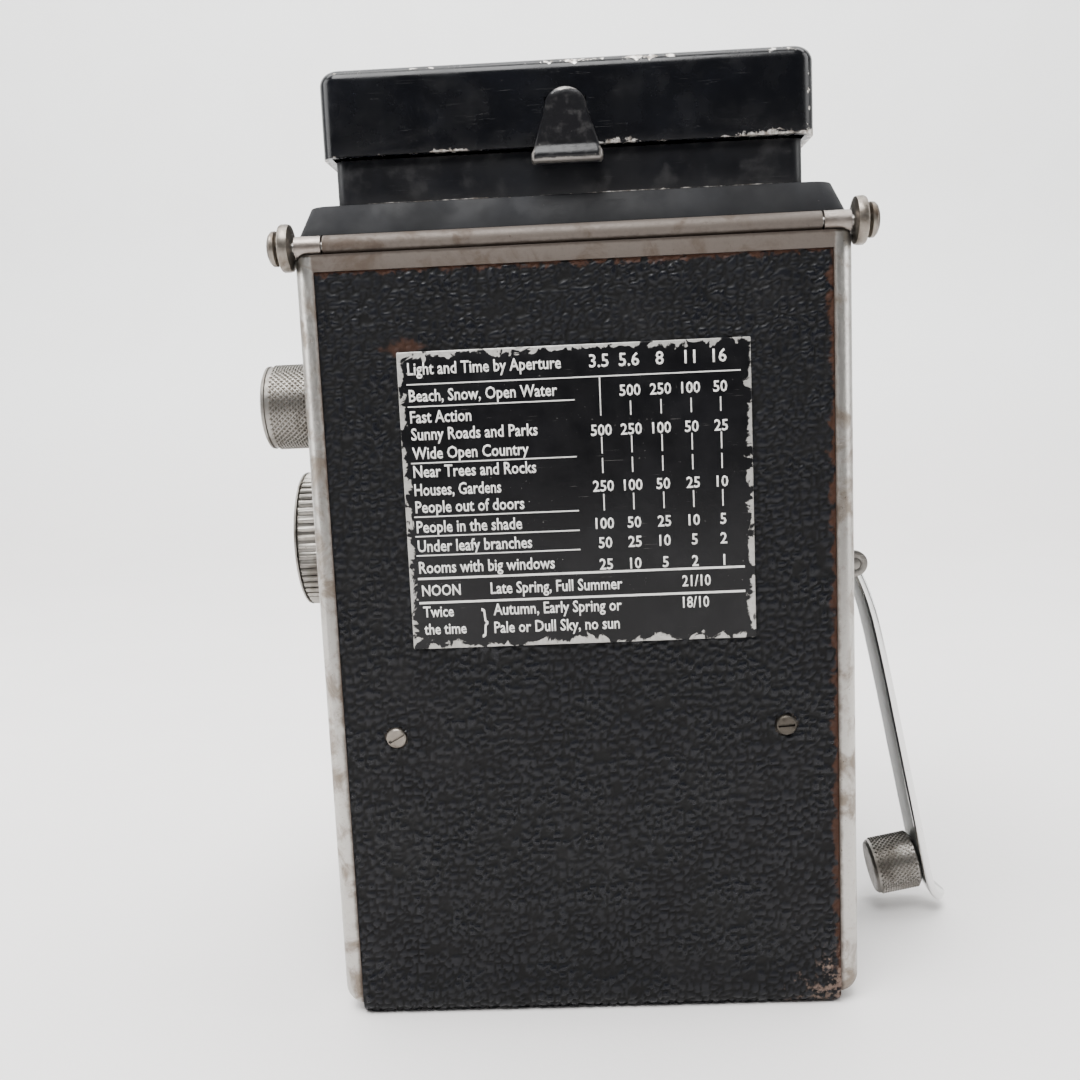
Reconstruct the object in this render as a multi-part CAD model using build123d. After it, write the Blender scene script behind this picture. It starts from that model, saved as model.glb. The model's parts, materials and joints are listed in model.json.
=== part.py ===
"""Twin lens reflex camera for 6 x 6 cm roll film, folding hood closed, in millimetres.

+Z is up and the lenses look along -Y, so the user stands at +Y with their left hand at +X.
The origin is the centre of the tripod thread's mouth, in the plane of the feet.
Each piece is one exported node, drawn where it sits with every joint at rest.
"""

import os
from math import acos, atan2, cos, degrees, hypot, pi, radians, sin, sqrt, tan

from build123d import *

# Driving sizes: the body, from the feet up and from the front to the back
BODY_WIDTH = 76.0
BODY_FRONT = -33.0
BODY_REAR = 27.0
HEAD_ROOM = 26.0
WALL = 1.5
LEATHER = 0.7
FOOT_HEIGHT = 1.0

# Film format and the two lens axes
FRAME_HEIGHT = 56.0
FILM_PLANE = 25.0
TAKING_Z = 44.0
LENS_SPACING = 42.0
SPOOL_RADIUS = 12.5

# Back door
BACK_DEPTH = 6.2
BACK_RIM = 2.8
BACK_SHEET = 2.0
HINGE_RADIUS = 1.5

# Folding hood
HOOD_DEPTH = 61.3
HOOD_BASE_HEIGHT = 4.2
BASE_PLINTH = 1.3
COLLAR_WIDTH = 64.4
COLLAR_HEIGHT = 5.9
LID_WIDTH = 67.6
LID_HEIGHT = 11.7
PANEL_HEIGHT = 28.5

# Controls
FOCUS_KNOB_RADIUS = 11.3
SPOOL_KNOB_RADIUS = 6.4
KNOB_STAND = 9.0
CRANK_RADIUS = 9.7
CRANK_WIDTH = 9.4

# Clearances
RUNNING = 0.05
CLEAR = 0.3

# Positions that follow from those sizes
HALF = BODY_WIDTH / 2
CAST_HALF = HALF - LEATHER
INNER_HALF = CAST_HALF - WALL
SPOOL_HALF = INNER_HALF - 3.05
CHAMBER_HALF = SPOOL_HALF - 3.25
GATE_HALF = CHAMBER_HALF - 1.5
GATE_BORDER = 1.0
VIEWING_Z = TAKING_Z + LENS_SPACING
BODY_TOP = VIEWING_Z + HEAD_ROOM
BASE_SHEET_TOP = FOOT_HEIGHT + BACK_SHEET
CAST_BASE = BASE_SHEET_TOP + 0.4
BACK_FACE = BODY_REAR + CLEAR + BACK_DEPTH
BACK_TOP = BODY_TOP - 1.5
HINGE_Y = BACK_FACE - HINGE_RADIUS - 0.1
HINGE_Z = BODY_TOP + BASE_PLINTH - HINGE_RADIUS - 0.1
SPOOL_REAR = BACK_FACE - BACK_SHEET - 2.0
SPOOL_TOP = BODY_TOP - 9.5
TAKEUP = (SPOOL_REAR - SPOOL_RADIUS, SPOOL_TOP - SPOOL_RADIUS)
SUPPLY = (BODY_FRONT + WALL + 0.5 + SPOOL_RADIUS, CAST_BASE + WALL + 0.1 + SPOOL_RADIUS)
PINION = (-2.5, TAKING_Z + 23.3)
CRANK = (2.5, TAKEUP[1] - 29.0)

os.makedirs("parts", exist_ok=True)


def box(x0, x1, y0, y1, z0, z1):
    """Block between two corners."""
    return Pos(x0, y0, z0) * Box(x1 - x0, y1 - y0, z1 - z0, align=(Align.MIN,) * 3)


def rod_x(x0, x1, centre, radius):
    """Cylinder along X about a (y, z) centre."""
    turned = Rot(0, 90, 0) * Cylinder(radius, x1 - x0, align=(Align.CENTER, Align.CENTER, Align.MIN))
    return Pos(x0, centre[0], centre[1]) * turned


def rod_y(y0, y1, centre, radius):
    """Cylinder along Y about an (x, z) centre."""
    turned = Rot(-90, 0, 0) * Cylinder(radius, y1 - y0, align=(Align.CENTER, Align.CENTER, Align.MIN))
    return Pos(centre[0], y0, centre[1]) * turned


def rod_z(z0, z1, centre, radius):
    """Cylinder along Z about an (x, y) centre."""
    return Pos(centre[0], centre[1], z0) * Cylinder(
        radius, z1 - z0, align=(Align.CENTER, Align.CENTER, Align.MIN)
    )


def ring_y(y0, y1, centre, outer, inner):
    """Tube along Y about an (x, z) centre."""
    return rod_y(y0, y1, centre, outer) - rod_y(y0 - 1, y1 + 1, centre, inner)


def prism_x(points, x0, x1):
    """Polygon of (y, z) corners, extruded along X."""
    return extrude(Plane.YZ.offset(x0) * make_face(Polyline(*points, close=True)), x1 - x0)


def prism_y(points, y0, y1):
    """Polygon of (x, z) corners, extruded along Y."""
    return extrude(Plane.XZ.offset(-y1) * make_face(Polyline(*points, close=True)), y1 - y0)


def prism_z(points, z0, z1):
    """Polygon of (x, y) corners, extruded along Z."""
    return extrude(Plane.XY.offset(z0) * make_face(Polyline(*points, close=True)), z1 - z0)


def lens_y(centre, radius, edge_y, edge, front_bulge, rear_bulge):
    """Glass disc along Y: an edge band with a spherical bulge on each side."""
    front_ball = (radius**2 + front_bulge**2) / (2 * front_bulge)
    rear_ball = (radius**2 + rear_bulge**2) / (2 * rear_bulge)
    front_y = edge_y - front_bulge
    rear_y = edge_y + edge + rear_bulge
    disc = rod_y(front_y, rear_y, centre, radius)
    disc &= Pos(centre[0], front_y + front_ball, centre[1]) * Sphere(front_ball)
    return disc & (Pos(centre[0], rear_y - rear_ball, centre[1]) * Sphere(rear_ball))


def gear_face(teeth, module, addendum, dedendum, thinning):
    """Involute gear outline with a tooth centred on its local X axis."""
    pitch = module * teeth / 2
    base = pitch * cos(radians(20))
    root = pitch - dedendum
    tip = pitch + addendum
    lowest = max(base, root)
    half_at_pitch = pi / (2 * teeth) - thinning / (2 * pitch)
    involute_at_pitch = tan(radians(20)) - radians(20)
    flank = []
    for step in range(6):
        radius = lowest + (tip - lowest) * step / 5
        pressure = acos(min(1.0, base / radius))
        flank.append((radius, half_at_pitch + involute_at_pitch - (tan(pressure) - pressure)))
    if root < lowest:
        flank.insert(0, (root, flank[0][1]))
    corners = []
    for tooth in range(teeth):
        middle = 2 * pi * tooth / teeth
        corners += [(r * cos(middle - a), r * sin(middle - a)) for r, a in flank]
        corners += [(r * cos(middle + a), r * sin(middle + a)) for r, a in reversed(flank)]
    return make_face(Polyline(*corners, close=True))


def gear_x(face, centre, tooth_angle, x0, x1):
    """Gear along X about a (y, z) centre, with one tooth at the given angle in degrees."""
    turned = Plane.YZ.offset(x0) * (Rot(0, 0, tooth_angle) * face)
    return Pos(0, centre[0], centre[1]) * extrude(turned, x1 - x0)


def ridged_face(radius, ridges, depth):
    """Outline of a knob with straight finger ridges."""
    corners = []
    for index in range(ridges):
        for offset, reach in ((0.0, radius), (0.38, radius), (0.55, radius - depth), (0.83, radius - depth)):
            angle = 2 * pi * (index + offset) / ridges
            corners.append((reach * cos(angle), reach * sin(angle)))
    return make_face(Polyline(*corners, close=True))


def knuckles(segments, centre, radius, bore):
    """Hinge barrel pieces along X with a common bore."""
    barrel = None
    for x0, x1 in segments:
        piece = rod_x(x0, x1, centre, radius) - rod_x(x0 - 1, x1 + 1, centre, bore)
        barrel = piece if barrel is None else barrel + piece
    return barrel


def split_barrel(half_length, count):
    """Equal hinge segments along X with a clearance between neighbours."""
    pitch = 2 * half_length / count
    return [
        (-half_length + pitch * i + CLEAR / 2, -half_length + pitch * (i + 1) - CLEAR / 2)
        for i in range(count)
    ]


# Hinge and knob holes through the sides, shared by the casting and its leather
GUIDE_RADIUS = 4.4
BEARING_RADIUS = 5.0
SHAFT_RADIUS = 2.5
left_holes = rod_x(INNER_HALF - 1, HALF + 1, TAKEUP, GUIDE_RADIUS)
left_holes += rod_x(INNER_HALF - 1, HALF + 1, SUPPLY, GUIDE_RADIUS)
left_holes += rod_x(INNER_HALF - 1, HALF + 1, PINION, BEARING_RADIUS)
right_holes = rod_x(-HALF - 1, -INNER_HALF + 1, CRANK, BEARING_RADIUS)

# Lens board sleeve, which slides in the front opening of the casting
SLEEVE_HALF = CHAMBER_HALF - 2.5
SLEEVE_BASE = TAKING_Z - 13.1
SLEEVE_TOP = VIEWING_Z + 15.0
SLEEVE_WALL = 1.2
SLEEVE_REAR = BODY_FRONT + 10.0

# Film rollers, just outside the film gate
ROLLER_RADIUS = 1.8
ROLLER_OFFSET = FRAME_HEIGHT / 2 + GATE_BORDER + 0.4 + ROLLER_RADIUS
UPPER_ROLLER = (FILM_PLANE - ROLLER_RADIUS, TAKING_Z + ROLLER_OFFSET)
LOWER_ROLLER = (FILM_PLANE - ROLLER_RADIUS, TAKING_Z - ROLLER_OFFSET)
ROLLER_HALF = SPOOL_HALF - 0.75
JOURNAL_RADIUS = 0.9

# Focusing screen opening in the deck
SCREEN_HALF = CHAMBER_HALF - 1.0
SCREEN_FRONT = BODY_FRONT + 3.5
SCREEN_REAR = BODY_REAR - 5.0
SCREEN_THICKNESS = 1.4

# Back door hinge: one long barrel on the door between two short ones on the body
END_BARREL = 3.6
HINGE_STEM = 0.9
barrel_end = HALF - CLEAR
fixed_segments = [(-barrel_end, -barrel_end + END_BARREL), (barrel_end - END_BARREL, barrel_end)]
moving_segments = [(-barrel_end + END_BARREL + CLEAR, barrel_end - END_BARREL - CLEAR)]
PIN_RADIUS = 0.8

# Tripod bush, carried by the door's base
BUSH_RADIUS = 7.0
BUSH_HEIGHT = 7.0
THREAD_RADIUS = 2.6

# Body casting: open at the back and below, with a deck, roller brackets and hinge arms
casting = box(-CAST_HALF, CAST_HALF, BODY_FRONT, BODY_REAR, CAST_BASE, BODY_TOP)
casting = fillet(casting.edges().filter_by(Axis.Z).group_by(Axis.Y)[0], 1.2)
casting -= box(
    -INNER_HALF, INNER_HALF, BODY_FRONT + WALL, BODY_REAR + 1, CAST_BASE + WALL, BODY_TOP - WALL
)
casting -= box(
    -SLEEVE_HALF, SLEEVE_HALF, BODY_FRONT - 1, BODY_FRONT + WALL + 1, SLEEVE_BASE, SLEEVE_TOP
)
casting -= box(
    -SCREEN_HALF, SCREEN_HALF, SCREEN_FRONT, SCREEN_REAR, BODY_TOP - WALL - 1, BODY_TOP + 1
)
casting -= box(
    -INNER_HALF, INNER_HALF, BODY_FRONT + WALL, BODY_REAR + 1, 0, CAST_BASE + WALL + 1
)
casting -= left_holes
casting -= right_holes
for x0, x1 in fixed_segments:
    casting += box(x0, x1, BODY_REAR - 1, HINGE_Y, BODY_TOP - 1.2, BODY_TOP)
casting += knuckles(fixed_segments, (HINGE_Y, HINGE_Z), HINGE_RADIUS, PIN_RADIUS)
casting -= rod_x(-HALF, HALF, (HINGE_Y, HINGE_Z), PIN_RADIUS)
for roller in (UPPER_ROLLER, LOWER_ROLLER):
    for side in (-1, 1):
        outer = side * (INNER_HALF + 0.2)
        inner = side * (ROLLER_HALF + CLEAR)
        bracket = box(
            min(inner, outer),
            max(inner, outer),
            roller[0] - ROLLER_RADIUS,
            roller[0] + ROLLER_RADIUS,
            roller[1] - ROLLER_RADIUS,
            roller[1] + ROLLER_RADIUS,
        )
        casting += bracket
    casting -= rod_x(-INNER_HALF, INNER_HALF, roller, JOURNAL_RADIUS + RUNNING)
export_step(casting, "parts/body_casting.step")

# Side leather, glued to the flat of each side
LEATHER_MARGIN = 1.5
sheet = (BODY_FRONT + LEATHER_MARGIN, BODY_REAR - LEATHER_MARGIN, CAST_BASE + LEATHER_MARGIN)
left_leather = box(CAST_HALF, HALF, *sheet, BODY_TOP - LEATHER_MARGIN) - left_holes
right_leather = box(-HALF, -CAST_HALF, *sheet, BODY_TOP - LEATHER_MARGIN) - right_holes
export_step(left_leather, "parts/left_side_leather.step")
export_step(right_leather, "parts/right_side_leather.step")

# Exposure chamber behind the taking lens, with the film gate across its rear
CHAMBER_WALL = 1.2
CHAMBER_FRONT = SLEEVE_REAR + 1.0
GATE_FRONT = FILM_PLANE - 1.4
gate_low = TAKING_Z - FRAME_HEIGHT / 2 - GATE_BORDER
gate_high = TAKING_Z + FRAME_HEIGHT / 2 + GATE_BORDER
chamber_line = [
    (CHAMBER_FRONT, SLEEVE_BASE + 0.1),
    (CHAMBER_FRONT + 17.0, SLEEVE_BASE + 0.1),
    (FILM_PLANE, gate_low),
    (FILM_PLANE, gate_high),
    (CHAMBER_FRONT, TAKING_Z + 16.0),
]
hollow_line = [
    (CHAMBER_FRONT + CHAMBER_WALL, SLEEVE_BASE + 0.1 + CHAMBER_WALL),
    (CHAMBER_FRONT + 17.0, SLEEVE_BASE + 0.1 + CHAMBER_WALL),
    (GATE_FRONT, gate_low + GATE_BORDER),
    (FILM_PLANE + 1, gate_low + GATE_BORDER),
    (FILM_PLANE + 1, gate_high - GATE_BORDER),
    (GATE_FRONT, gate_high - GATE_BORDER),
    (CHAMBER_FRONT + CHAMBER_WALL, TAKING_Z + 16.0 - 1.3 * CHAMBER_WALL),
]
chamber_block = prism_x(chamber_line, -CHAMBER_HALF, CHAMBER_HALF)
chamber = chamber_block - prism_x(hollow_line, -GATE_HALF, GATE_HALF)
chamber += box(
    -INNER_HALF, -CHAMBER_HALF + 1, GATE_FRONT, FILM_PLANE, TAKING_Z - 24, TAKING_Z + 16
)
chamber += box(
    CHAMBER_HALF - 1, INNER_HALF, GATE_FRONT, FILM_PLANE, TAKING_Z - 24, TAKING_Z + 16
)
chamber -= rod_y(CHAMBER_FRONT - 1, CHAMBER_FRONT + 3, (0, TAKING_Z), 12.0)
export_step(chamber, "parts/exposure_chamber.step")

# Focusing screen and the frame that carries it under the deck
SCREEN_FRAME_DEPTH = 1.2
screen_base = BODY_TOP - WALL
screen = box(
    -SCREEN_HALF, SCREEN_HALF, SCREEN_FRONT, SCREEN_REAR, screen_base, screen_base + SCREEN_THICKNESS
)
screen_frame = box(
    -SCREEN_HALF - 1.2,
    SCREEN_HALF + 1.2,
    SCREEN_FRONT - 1.2,
    SCREEN_REAR + 1.2,
    screen_base - SCREEN_FRAME_DEPTH,
    screen_base,
)
screen_frame -= box(
    -SCREEN_HALF + 1.5, SCREEN_HALF - 1.5, SCREEN_FRONT + 1.5, SCREEN_REAR - 1.5, 0, BODY_TOP
)
export_step(screen, "parts/focusing_screen.step")
export_step(screen_frame, "parts/screen_frame.step")

# Mirror at 45 degrees under the screen, held between two rails that stand on the chamber
MIRROR_THICKNESS = 1.5
MIRROR_HALF = SCREEN_HALF - 2.5
mirror_lift = VIEWING_Z + 8.0
mirror_low = SLEEVE_REAR + 0.6
mirror_high = screen_base - SCREEN_FRAME_DEPTH - 1.3 - mirror_lift
slant = sqrt(2) * MIRROR_THICKNESS
mirror_line = [
    (mirror_low, mirror_low + mirror_lift),
    (mirror_high, mirror_high + mirror_lift),
    (mirror_high, mirror_high + mirror_lift - slant),
    (mirror_low, mirror_low + mirror_lift - slant),
]
mirror = prism_x(mirror_line, -MIRROR_HALF, MIRROR_HALF)
rail_line = [
    (mirror_low, 0),
    (mirror_low, mirror_low + mirror_lift + 0.8),
    (mirror_high + 0.5, mirror_high + mirror_lift + 1.3),
    (mirror_high + 2.0, mirror_high + mirror_lift + 1.3),
    (mirror_high + 2.0, mirror_high + mirror_lift + 2.0 - slant),
    (mirror_low + 2.4, mirror_low + mirror_lift + 2.4 - slant),
    (mirror_low + 2.4, 0),
]
holder = prism_x(rail_line, -MIRROR_HALF - 1.5, -MIRROR_HALF)
holder += prism_x(rail_line, MIRROR_HALF, MIRROR_HALF + 1.5)
holder -= box(-HALF, HALF, BODY_FRONT, BODY_REAR, 0, TAKING_Z + 10)
holder -= chamber_block
export_step(mirror, "parts/mirror.step")
export_step(holder, "parts/mirror_holder.step")

# Back door: a shallow rear pan and a flat base in one piece, hinged at the top
BACK_CORNER = 3.0
back = box(-HALF, HALF, BODY_REAR + CLEAR, BACK_FACE, FOOT_HEIGHT, BACK_TOP)
back = fillet(back.edges().filter_by(Axis.Y).group_by(Axis.Z)[0], BACK_CORNER)
back = fillet(back.edges().filter_by(Axis.X).group_by(Axis.Z)[0].sort_by(Axis.Y)[-1], BACK_CORNER - 0.6)
back -= box(
    -INNER_HALF, INNER_HALF, 0, BACK_FACE - BACK_SHEET - 0.5, BASE_SHEET_TOP, BACK_TOP - 1.8
)
plate = box(-HALF, HALF, BODY_FRONT, BODY_REAR + CLEAR + 1, FOOT_HEIGHT, BASE_SHEET_TOP)
plate = chamfer(plate.edges().filter_by(Axis.Y).group_by(Axis.Z)[0], 1.2)
back += plate
for x0, x1 in moving_segments:
    back += box(x0, x1, HINGE_Y - HINGE_STEM, HINGE_Y + HINGE_STEM, BACK_TOP - 0.5, HINGE_Z)
back += knuckles(moving_segments, (HINGE_Y, HINGE_Z), HINGE_RADIUS, PIN_RADIUS + RUNNING)
back -= rod_x(-HALF - 1, HALF + 1, (HINGE_Y, HINGE_Z), PIN_RADIUS + RUNNING)
for x0, x1 in fixed_segments:
    back -= rod_x(x0 - CLEAR, x1 + CLEAR, (HINGE_Y, HINGE_Z), HINGE_RADIUS + CLEAR)
back -= rod_z(0, BUSH_HEIGHT, (0, 0), BUSH_RADIUS)
LATCH_Y = BODY_FRONT + 9.0
back += rod_z(0.1, BASE_SHEET_TOP, (0, LATCH_Y), 1.5)

# Recess for the back leather, and the exposure table and screws set through it
LEATHER_TOP = BODY_TOP - 3.8
LEATHER_BASE = FOOT_HEIGHT + BACK_CORNER
BACK_LEATHER = 0.5
TABLE = (-23.8, 24.5, BODY_TOP - 56.7, BODY_TOP - 15.1)
TABLE_THICKNESS = 0.9
SCREW_X = 27.8
SCREW_Z = TAKING_Z - 1.6
SCREW_RADIUS = 1.55
leather_half = HALF - BACK_RIM
leather_front = BACK_FACE - BACK_LEATHER
recess = box(-leather_half, leather_half, leather_front, BACK_FACE, LEATHER_BASE, LEATHER_TOP)
table = box(TABLE[0], TABLE[1], leather_front, leather_front + TABLE_THICKNESS, TABLE[2], TABLE[3])
back_leather = recess - table
back_screws = None
for side in (-1, 1):
    centre = (side * SCREW_X, SCREW_Z)
    shank = rod_y(FILM_PLANE + 1.0, leather_front + 0.3, centre, 1.0)
    head = rod_y(leather_front, leather_front + 1.1, centre, SCREW_RADIUS)
    head -= box(-HALF, HALF, leather_front + 0.6, BACK_FACE + 2, SCREW_Z - 0.25, SCREW_Z + 0.25)
    screw = shank + head
    back_screws = screw if back_screws is None else back_screws + screw
    back_leather -= rod_y(0, BACK_FACE + 1, centre, SCREW_RADIUS)
    back -= rod_y(0, leather_front, centre, 1.0)
back -= recess
export_step(back, "parts/back_shell.step")
export_step(back_leather, "parts/back_leather.step")
export_step(table, "parts/exposure_table.step")
export_step(back_screws, "parts/back_screws.step")

# Hinge pin, with a strap stud on each end
STUD_RADIUS = 3.25
stud_start = HALF + 0.1
hinge_pin = rod_x(-stud_start, stud_start, (HINGE_Y, HINGE_Z), PIN_RADIUS)
studs = None
for side in (-1, 1):
    for start, end, radius in ((0, 1.9, STUD_RADIUS), (1.9, 3.3, 0.72 * STUD_RADIUS)):
        x0, x1 = sorted((side * (stud_start + start), side * (stud_start + end)))
        disc = rod_x(x0, x1, (HINGE_Y, HINGE_Z), radius)
        studs = disc if studs is None else studs + disc
export_step(hinge_pin, "parts/door_hinge_pin.step")
export_step(studs, "parts/strap_studs.step")

# Feet and tripod bush on the door's base
feet = None
for x in (-HALF + 8, HALF - 8):
    for y in (BODY_FRONT + 7, BODY_REAR - 3):
        foot = rod_z(0, FOOT_HEIGHT, (x, y), 2.6)
        feet = foot if feet is None else feet + foot
bush = rod_z(0, BUSH_HEIGHT, (0, 0), BUSH_RADIUS)
bush -= rod_z(-1, BUSH_HEIGHT - 1.0, (0, 0), THREAD_RADIUS)
export_step(feet, "parts/feet.step")
export_step(bush, "parts/tripod_bush.step")

# Back latch: a flat lever that turns under the base on the base's own stud
latch = rod_z(0.1, FOOT_HEIGHT - 0.1, (0, LATCH_Y), 5.0)
latch_line = [
    (-3.4, LATCH_Y),
    (3.4, LATCH_Y),
    (4.6, BODY_FRONT + 1),
    (4.6, BODY_FRONT - 0.6),
    (-4.6, BODY_FRONT - 0.6),
    (-4.6, BODY_FRONT + 1),
]
latch += prism_z(latch_line, 0.1, FOOT_HEIGHT - 0.1)
latch -= rod_z(-1, 5, (0, LATCH_Y), 1.5 + RUNNING)
export_step(latch, "parts/back_latch.step")

# Pressure plate, guided by the back screws, with two bowed leaf springs behind it
PLATE_HALF = SPOOL_HALF - 1.75
PLATE_HEIGHT = FRAME_HEIGHT + 5.0
plate_front = FILM_PLANE + 0.2
plate_rear = plate_front + 1.5
inner_face = BACK_FACE - BACK_SHEET - 0.5
pressure_plate = box(
    -PLATE_HALF, PLATE_HALF, plate_front, plate_rear, TAKING_Z - PLATE_HEIGHT / 2, TAKING_Z + PLATE_HEIGHT / 2
)
springs = None
for side in (-1, 1):
    pressure_plate -= rod_y(0, BACK_FACE, (side * SCREW_X, SCREW_Z), 1.0 + 2 * RUNNING)
    x0 = side * SCREW_X / 2 - 3.0
    leaf = [
        (inner_face, TAKING_Z - 8),
        (inner_face - 0.3, TAKING_Z - 8),
        (plate_rear + 0.05, TAKING_Z - 24),
        (plate_rear + 0.4, TAKING_Z - 24.3),
    ]
    upper = [(y, 2 * TAKING_Z - z) for y, z in leaf]
    spring = box(x0, x0 + 6, inner_face - 0.3, inner_face, TAKING_Z - 8.2, TAKING_Z + 8.2)
    spring += prism_x(leaf, x0, x0 + 6)
    spring += prism_x(upper, x0, x0 + 6)
    springs = spring if springs is None else springs + spring
export_step(pressure_plate, "parts/pressure_plate.step")
export_step(springs, "parts/pressure_springs.step")

# Hood base: a plinth on the deck under a flange with sloping sides
HOOD_REAR = HINGE_Y - 0.9
HOOD_FRONT = HOOD_REAR - HOOD_DEPTH - 1.5
FLANGE_SLOPE = 1.7
COLLAR_HALF = COLLAR_WIDTH / 2
COLLAR_WALL = 1.4
COLLAR_REAR = HOOD_REAR - 1.8
COLLAR_FRONT = HOOD_FRONT + 1.8
base_top = BODY_TOP + HOOD_BASE_HEIGHT + BASE_PLINTH
collar_top = base_top + COLLAR_HEIGHT
collar_inner = COLLAR_HALF - COLLAR_WALL
hood_middle = (HOOD_FRONT + HOOD_REAR) / 2
flange_low = Pos(0, hood_middle, BODY_TOP + BASE_PLINTH) * RectangleRounded(
    BODY_WIDTH, HOOD_REAR - HOOD_FRONT, 3.0
)
flange_high = Pos(0, hood_middle, base_top) * RectangleRounded(
    BODY_WIDTH - 2 * FLANGE_SLOPE, HOOD_REAR - HOOD_FRONT - 2 * FLANGE_SLOPE, 3.0
)
hood_base = loft([flange_low, flange_high])
hood_base += box(
    -HALF + 2, HALF - 2, HOOD_FRONT + 2, HOOD_REAR - 2, BODY_TOP, BODY_TOP + BASE_PLINTH
)
hood_base -= box(
    -collar_inner, collar_inner, COLLAR_FRONT + COLLAR_WALL, COLLAR_REAR - COLLAR_WALL, 0, base_top + 1
)
export_step(hood_base, "parts/hood_base.step")

# Hinge lines of the lid and of the three folding panels
LID_WALL = 1.3
LID_BARREL = 1.2
LID_GAP = 0.4
lid_base = collar_top + LID_GAP
lid_top = lid_base + LID_HEIGHT
lid_front = HOOD_FRONT + 0.8
lid_rear = lid_front + HOOD_DEPTH
lid_half = LID_WIDTH / 2
LID_AXIS = (lid_front - 1.7, lid_base + 0.8)
PANEL_SHEET = 0.8
PANEL_BARREL = 1.1
PANEL_PIN = 0.6
SIDE_AXIS_X = collar_inner - PANEL_BARREL - 0.2
SIDE_AXIS_Z = base_top + 2.0
REAR_AXIS = (COLLAR_REAR - COLLAR_WALL - PANEL_BARREL - 0.2, SIDE_AXIS_Z + 2.4)
side_front = COLLAR_FRONT + COLLAR_WALL + 0.5
side_rear = REAR_AXIS[0] - PANEL_BARREL - 0.6

# Hood collar: the low wall that the folded panels lie inside, with the lid's fixed knuckles
collar = box(-COLLAR_HALF, COLLAR_HALF, COLLAR_FRONT, COLLAR_REAR, base_top, collar_top)
collar = fillet(collar.edges().filter_by(Axis.Z), 2.0)
collar -= box(
    -collar_inner,
    collar_inner,
    COLLAR_FRONT + COLLAR_WALL,
    COLLAR_REAR - COLLAR_WALL,
    base_top - 1,
    collar_top + 1,
)
lid_segments = split_barrel(24.0, 5)
for x0, x1 in lid_segments[1::2]:
    collar += box(x0, x1, LID_AXIS[0] - LID_BARREL, LID_AXIS[0] + 1.0, collar_top - 3, LID_AXIS[1])
    collar += box(x0, x1, LID_AXIS[0], COLLAR_FRONT + 0.5, collar_top - 3, collar_top - 0.2)
collar += knuckles(lid_segments[1::2], LID_AXIS, LID_BARREL, 0.7)
collar -= rod_x(-COLLAR_HALF, COLLAR_HALF, LID_AXIS, 0.7)
for side in (-1, 1):
    collar -= rod_y(
        COLLAR_FRONT + 0.6, COLLAR_REAR - 0.6, (side * SIDE_AXIS_X, SIDE_AXIS_Z), PANEL_PIN
    )
collar -= rod_x(-COLLAR_HALF + 0.6, COLLAR_HALF - 0.6, REAR_AXIS, PANEL_PIN)
export_step(collar, "parts/hood_collar.step")

hood_pins = rod_x(-24.5, 24.5, LID_AXIS, 0.7)
hood_pins += rod_x(-COLLAR_HALF + 0.6, COLLAR_HALF - 0.6, REAR_AXIS, PANEL_PIN)
for side in (-1, 1):
    hood_pins += rod_y(
        COLLAR_FRONT + 0.6, COLLAR_REAR - 0.6, (side * SIDE_AXIS_X, SIDE_AXIS_Z), PANEL_PIN
    )
export_step(hood_pins, "parts/hood_hinge_pins.step")

# Hood panels: two sides with mitred rear edges under one rear panel
for name, side in (("left", 1), ("right", -1)):
    root = side * (SIDE_AXIS_X - PANEL_BARREL)
    tip = side * (SIDE_AXIS_X - PANEL_HEIGHT)
    outline = [
        (side * SIDE_AXIS_X, side_front),
        (tip, side_front + 3.0),
        (tip, side_rear - PANEL_HEIGHT - 0.8),
        (side * SIDE_AXIS_X, side_rear),
    ]
    panel = prism_z(outline, SIDE_AXIS_Z - PANEL_SHEET / 2, SIDE_AXIS_Z + PANEL_SHEET / 2)
    panel += rod_y(side_front, side_rear, (side * SIDE_AXIS_X, SIDE_AXIS_Z), PANEL_BARREL)
    panel -= rod_y(
        side_front - 1, side_rear + 1, (side * SIDE_AXIS_X, SIDE_AXIS_Z), PANEL_PIN + RUNNING
    )
    export_step(panel, f"parts/hood_panel_{name}.step")

REAR_PANEL_HALF = SIDE_AXIS_X - PANEL_BARREL - 0.6
rear_panel = box(
    -REAR_PANEL_HALF,
    REAR_PANEL_HALF,
    REAR_AXIS[0] - PANEL_HEIGHT,
    REAR_AXIS[0],
    REAR_AXIS[1] - PANEL_SHEET / 2,
    REAR_AXIS[1] + PANEL_SHEET / 2,
)
rear_panel += rod_x(-REAR_PANEL_HALF, REAR_PANEL_HALF, REAR_AXIS, PANEL_BARREL)
rear_panel -= rod_x(-HALF, HALF, REAR_AXIS, PANEL_PIN + RUNNING)
export_step(rear_panel, "parts/hood_panel_rear.step")

# Hood lid: a shallow pan with a finder flap let into its top, hinged at the front
LID_ROUND = 2.0
FLAP = (-12.0, 12.0, lid_front + 30.0, lid_front + 54.0)
FLAP_DEPTH = 0.8
lid_inside = lid_top - LID_WALL - 0.3
lid = box(-lid_half, lid_half, lid_front, lid_rear, lid_base, lid_top)
lid = fillet(lid.edges().filter_by(Axis.Z), 3.0)
lid = fillet(lid.edges().group_by(Axis.Z)[-1], LID_ROUND)
lid -= box(
    -lid_half + LID_WALL,
    lid_half - LID_WALL,
    lid_front + LID_WALL,
    lid_rear - LID_WALL,
    lid_base - 1,
    lid_inside,
)
lid -= box(*FLAP, lid_top - FLAP_DEPTH, lid_top + 1)
for x0, x1 in lid_segments[0::2]:
    lid += box(x0, x1, LID_AXIS[0], lid_front + 0.5, LID_AXIS[1] - 0.6, LID_AXIS[1] + LID_BARREL)
lid += knuckles(lid_segments[0::2], LID_AXIS, LID_BARREL, 0.7 + RUNNING)
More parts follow.
